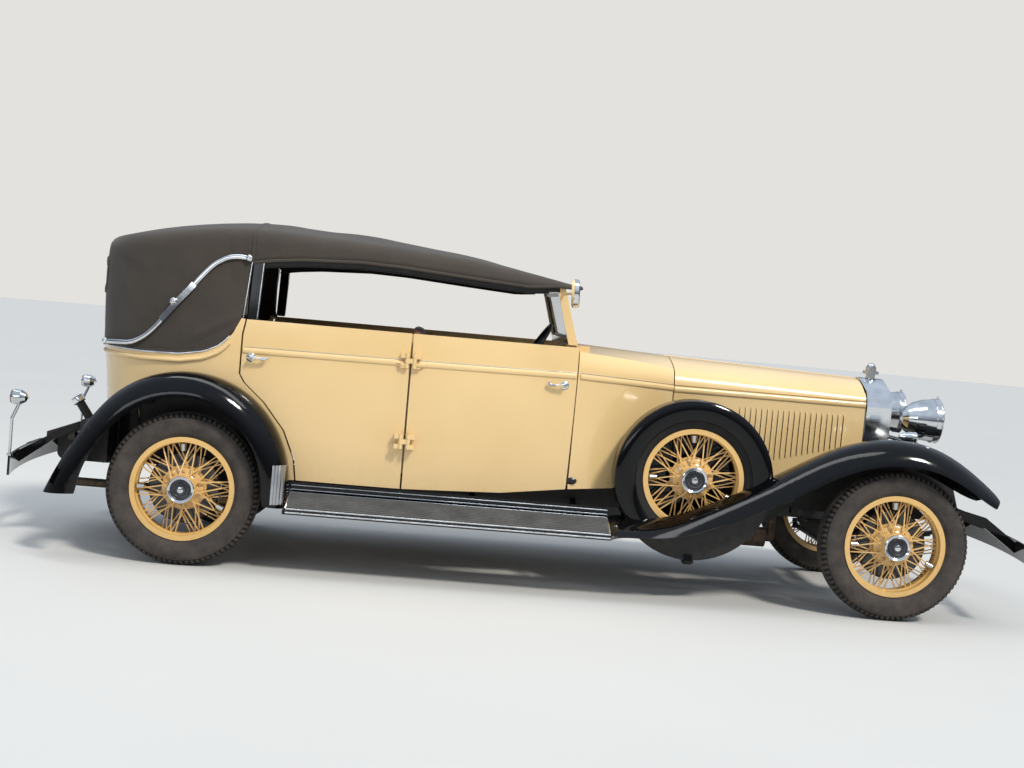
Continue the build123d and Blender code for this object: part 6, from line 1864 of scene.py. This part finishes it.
def make_wiper():
    """Wiper arm, lying on the screen."""
    screen = surface_of("windscreen_frame", "windscreen_glass")
    line = []
    for t in spread(0, 1, 12):
        start = Vector((1.0, -0.300 - 0.060 * t, 1.590 - 0.190 * t))
        hit, _, _, _ = screen.ray_cast(start, Vector((-1, 0, 0)))
        if hit is not None:
            line.append(hit + Vector((0.010, 0, 0)))
    wiper = Shape()
    wiper.tube(line, round_section(0.0035, 8), up=(0, 1, 0))
    wiper.piece("wiper", "bakelite", "car")


# Operators, one for each group of pieces

class TOURER_OT_finish_nodes(bpy.types.Operator):
    """Give every CAD piece its material"""
    bl_idname = "tourer.finish_nodes"
    bl_label = "Finish the CAD pieces"

    def execute(self, context):
        finish_nodes()
        return {"FINISHED"}


class TOURER_OT_set_stage(bpy.types.Operator):
    """Floor, lights and camera"""
    bl_idname = "tourer.set_stage"
    bl_label = "Set the stage"

    def execute(self, context):
        set_stage()
        return {"FINISHED"}


class TOURER_OT_make_cloth_top(bpy.types.Operator):
    """Roof and hood cloth with hems and seams"""
    bl_idname = "tourer.make_cloth_top"
    bl_label = "Make the cloth top"

    def execute(self, context):
        make_cloth_top()
        return {"FINISHED"}


class TOURER_OT_make_tyres(bpy.types.Operator):
    """Treaded road tyres and spares"""
    bl_idname = "tourer.make_tyres"
    bl_label = "Make the tyres"

    def execute(self, context):
        make_tyres()
        return {"FINISHED"}


class TOURER_OT_make_wheel_trim(bpy.types.Operator):
    """Hub caps, flanges and balance weights"""
    bl_idname = "tourer.make_wheel_trim"
    bl_label = "Make the wheel trim"

    def execute(self, context):
        make_wheel_trim()
        return {"FINISHED"}


class TOURER_OT_make_lamps(bpy.types.Operator):
    """Glasses and rims of all lamps"""
    bl_idname = "tourer.make_lamps"
    bl_label = "Make the lamp glasses"

    def execute(self, context):
        make_lamps()
        return {"FINISHED"}


class TOURER_OT_make_mouldings(bpy.types.Operator):
    """Waist mouldings on body, doors and bonnet"""
    bl_idname = "tourer.make_mouldings"
    bl_label = "Make the mouldings"

    def execute(self, context):
        make_mouldings()
        return {"FINISHED"}


class TOURER_OT_make_hood_bead(bpy.types.Operator):
    """Bright bead and moulding round the tail"""
    bl_idname = "tourer.make_hood_bead"
    bl_label = "Make the hood bead"

    def execute(self, context):
        make_hood_bead()
        return {"FINISHED"}


class TOURER_OT_make_quarter_posts(bpy.types.Operator):
    """Beads and channels at the hood quarters"""
    bl_idname = "tourer.make_quarter_posts"
    bl_label = "Make the quarter posts"

    def execute(self, context):
        make_quarter_posts()
        return {"FINISHED"}


class TOURER_OT_make_louvres(bpy.types.Operator):
    """Pressed louvres on the bonnet sides"""
    bl_idname = "tourer.make_louvres"
    bl_label = "Make the louvres"

    def execute(self, context):
        make_louvres()
        return {"FINISHED"}


class TOURER_OT_make_running_boards(bpy.types.Operator):
    """Mats, ribs, strips and kick plates"""
    bl_idname = "tourer.make_running_boards"
    bl_label = "Dress the running boards"

    def execute(self, context):
        make_running_boards()
        return {"FINISHED"}


class TOURER_OT_make_door_fittings(bpy.types.Operator):
    """Lever handles on all doors"""
    bl_idname = "tourer.make_door_fittings"
    bl_label = "Make the door handles"

    def execute(self, context):
        make_door_fittings()
        return {"FINISHED"}


class TOURER_OT_make_mirror(bpy.types.Operator):
    """Round mirror on the near pillar"""
    bl_idname = "tourer.make_mirror"
    bl_label = "Make the mirror"

    def execute(self, context):
        make_mirror()
        return {"FINISHED"}


class TOURER_OT_make_seats(bpy.types.Operator):
    """Channelled hide benches with piping"""
    bl_idname = "tourer.make_seats"
    bl_label = "Make the seats"

    def execute(self, context):
        make_seats()
        return {"FINISHED"}


class TOURER_OT_make_door_cards(bpy.types.Operator):
    """Hide-covered cards inside all doors"""
    bl_idname = "tourer.make_door_cards"
    bl_label = "Make the door cards"

    def execute(self, context):
        make_door_cards()
        return {"FINISHED"}


class TOURER_OT_make_carpets(bpy.types.Operator):
    """Carpet on the front and rear floors"""
    bl_idname = "tourer.make_carpets"
    bl_label = "Lay the carpets"

    def execute(self, context):
        make_carpets()
        return {"FINISHED"}


class TOURER_OT_make_arch_liners(bpy.types.Operator):
    """Black inner arches"""
    bl_idname = "tourer.make_arch_liners"
    bl_label = "Line the rear arches"

    def execute(self, context):
        make_arch_liners()
        return {"FINISHED"}


class TOURER_OT_make_splash_guards(bpy.types.Operator):
    """Inner guards between the frame and the front wings"""
    bl_idname = "tourer.make_splash_guards"
    bl_label = "Make the splash guards"

    def execute(self, context):
        make_splash_guards()
        return {"FINISHED"}


class TOURER_OT_make_spare_lips(bpy.types.Operator):
    """Cover lips, well pans and clips"""
    bl_idname = "tourer.make_spare_lips"
    bl_label = "Finish the spare covers"

    def execute(self, context):
        make_spare_lips()
        return {"FINISHED"}


class TOURER_OT_make_board_ends(bpy.types.Operator):
    """Valance into the spare covers"""
    bl_idname = "tourer.make_board_ends"
    bl_label = "Close the board ends"

    def execute(self, context):
        make_board_ends()
        return {"FINISHED"}


class TOURER_OT_make_hood_irons(bpy.types.Operator):
    """S-shaped irons on the hood"""
    bl_idname = "tourer.make_hood_irons"
    bl_label = "Make the hood irons"

    def execute(self, context):
        make_hood_irons()
        return {"FINISHED"}


class TOURER_OT_make_cant_rails(bpy.types.Operator):
    """Side rails of the hood frame"""
    bl_idname = "tourer.make_cant_rails"
    bl_label = "Make the hood rails"

    def execute(self, context):
        make_cant_rails()
        return {"FINISHED"}


class TOURER_OT_make_screen_surround(bpy.types.Operator):
    """Black strip round the windscreen's glass"""
    bl_idname = "tourer.make_screen_surround"
    bl_label = "Make the screen surround"

    def execute(self, context):
        make_screen_surround()
        return {"FINISHED"}


class TOURER_OT_make_scuttle_vents(bpy.types.Operator):
    """Oval fittings on the scuttle"""
    bl_idname = "tourer.make_scuttle_vents"
    bl_label = "Make the scuttle vents"

    def execute(self, context):
        make_scuttle_vents()
        return {"FINISHED"}


class TOURER_OT_make_number_plates(bpy.types.Operator):
    """Blank plates, front and rear"""
    bl_idname = "tourer.make_number_plates"
    bl_label = "Make the number plates"

    def execute(self, context):
        make_number_plates()
        return {"FINISHED"}


class TOURER_OT_make_filler_cap(bpy.types.Operator):
    """Cap of the fuel tank"""
    bl_idname = "tourer.make_filler_cap"
    bl_label = "Make the filler cap"

    def execute(self, context):
        make_filler_cap()
        return {"FINISHED"}


class TOURER_OT_make_wiper(bpy.types.Operator):
    """Wiper arm on the screen"""
    bl_idname = "tourer.make_wiper"
    bl_label = "Make the wiper"

    def execute(self, context):
        make_wiper()
        return {"FINISHED"}


OPERATORS = [
    TOURER_OT_finish_nodes,
    TOURER_OT_set_stage,
    TOURER_OT_make_cloth_top,
    TOURER_OT_make_tyres,
    TOURER_OT_make_wheel_trim,
    TOURER_OT_make_lamps,
    TOURER_OT_make_mouldings,
    TOURER_OT_make_hood_bead,
    TOURER_OT_make_quarter_posts,
    TOURER_OT_make_louvres,
    TOURER_OT_make_running_boards,
    TOURER_OT_make_door_fittings,
    TOURER_OT_make_mirror,
    TOURER_OT_make_seats,
    TOURER_OT_make_door_cards,
    TOURER_OT_make_carpets,
    TOURER_OT_make_arch_liners,
    TOURER_OT_make_splash_guards,
    TOURER_OT_make_spare_lips,
    TOURER_OT_make_board_ends,
    TOURER_OT_make_hood_irons,
    TOURER_OT_make_cant_rails,
    TOURER_OT_make_screen_surround,
    TOURER_OT_make_scuttle_vents,
    TOURER_OT_make_number_plates,
    TOURER_OT_make_filler_cap,
    TOURER_OT_make_wiper,
]


class TOURER_PT_panel(bpy.types.Panel):
    """Lists the sizes, the colours and the groups of pieces."""
    bl_idname = "TOURER_PT_panel"
    bl_label = "Tourer"
    bl_space_type = "VIEW_3D"
    bl_region_type = "UI"
    bl_category = "Tourer"

    def draw(self, context):
        for group, values in ((TourerSizes, context.scene.tourer_sizes),
                              (TourerColours, context.scene.tourer_colours)):
            for name in group.__annotations__:
                self.layout.prop(values, name)
        for item in OPERATORS:
            self.layout.operator(item.bl_idname)


CLASSES = [TourerSizes, TourerColours, *OPERATORS, TOURER_PT_panel]


def register():
    """Adds the add-on's classes and its settings."""
    for item in CLASSES:
        bpy.utils.register_class(item)
    bpy.types.Scene.tourer_sizes = bpy.props.PointerProperty(type=TourerSizes)
    bpy.types.Scene.tourer_colours = bpy.props.PointerProperty(type=TourerColours)


def unregister():
    """Takes them away again."""
    del bpy.types.Scene.tourer_colours
    del bpy.types.Scene.tourer_sizes
    for item in reversed(CLASSES):
        bpy.utils.unregister_class(item)


def main():
    register()
    for item in OPERATORS:
        getattr(bpy.ops.tourer, item.bl_idname.split(".")[1])()


if __name__ == "__main__":
    main()
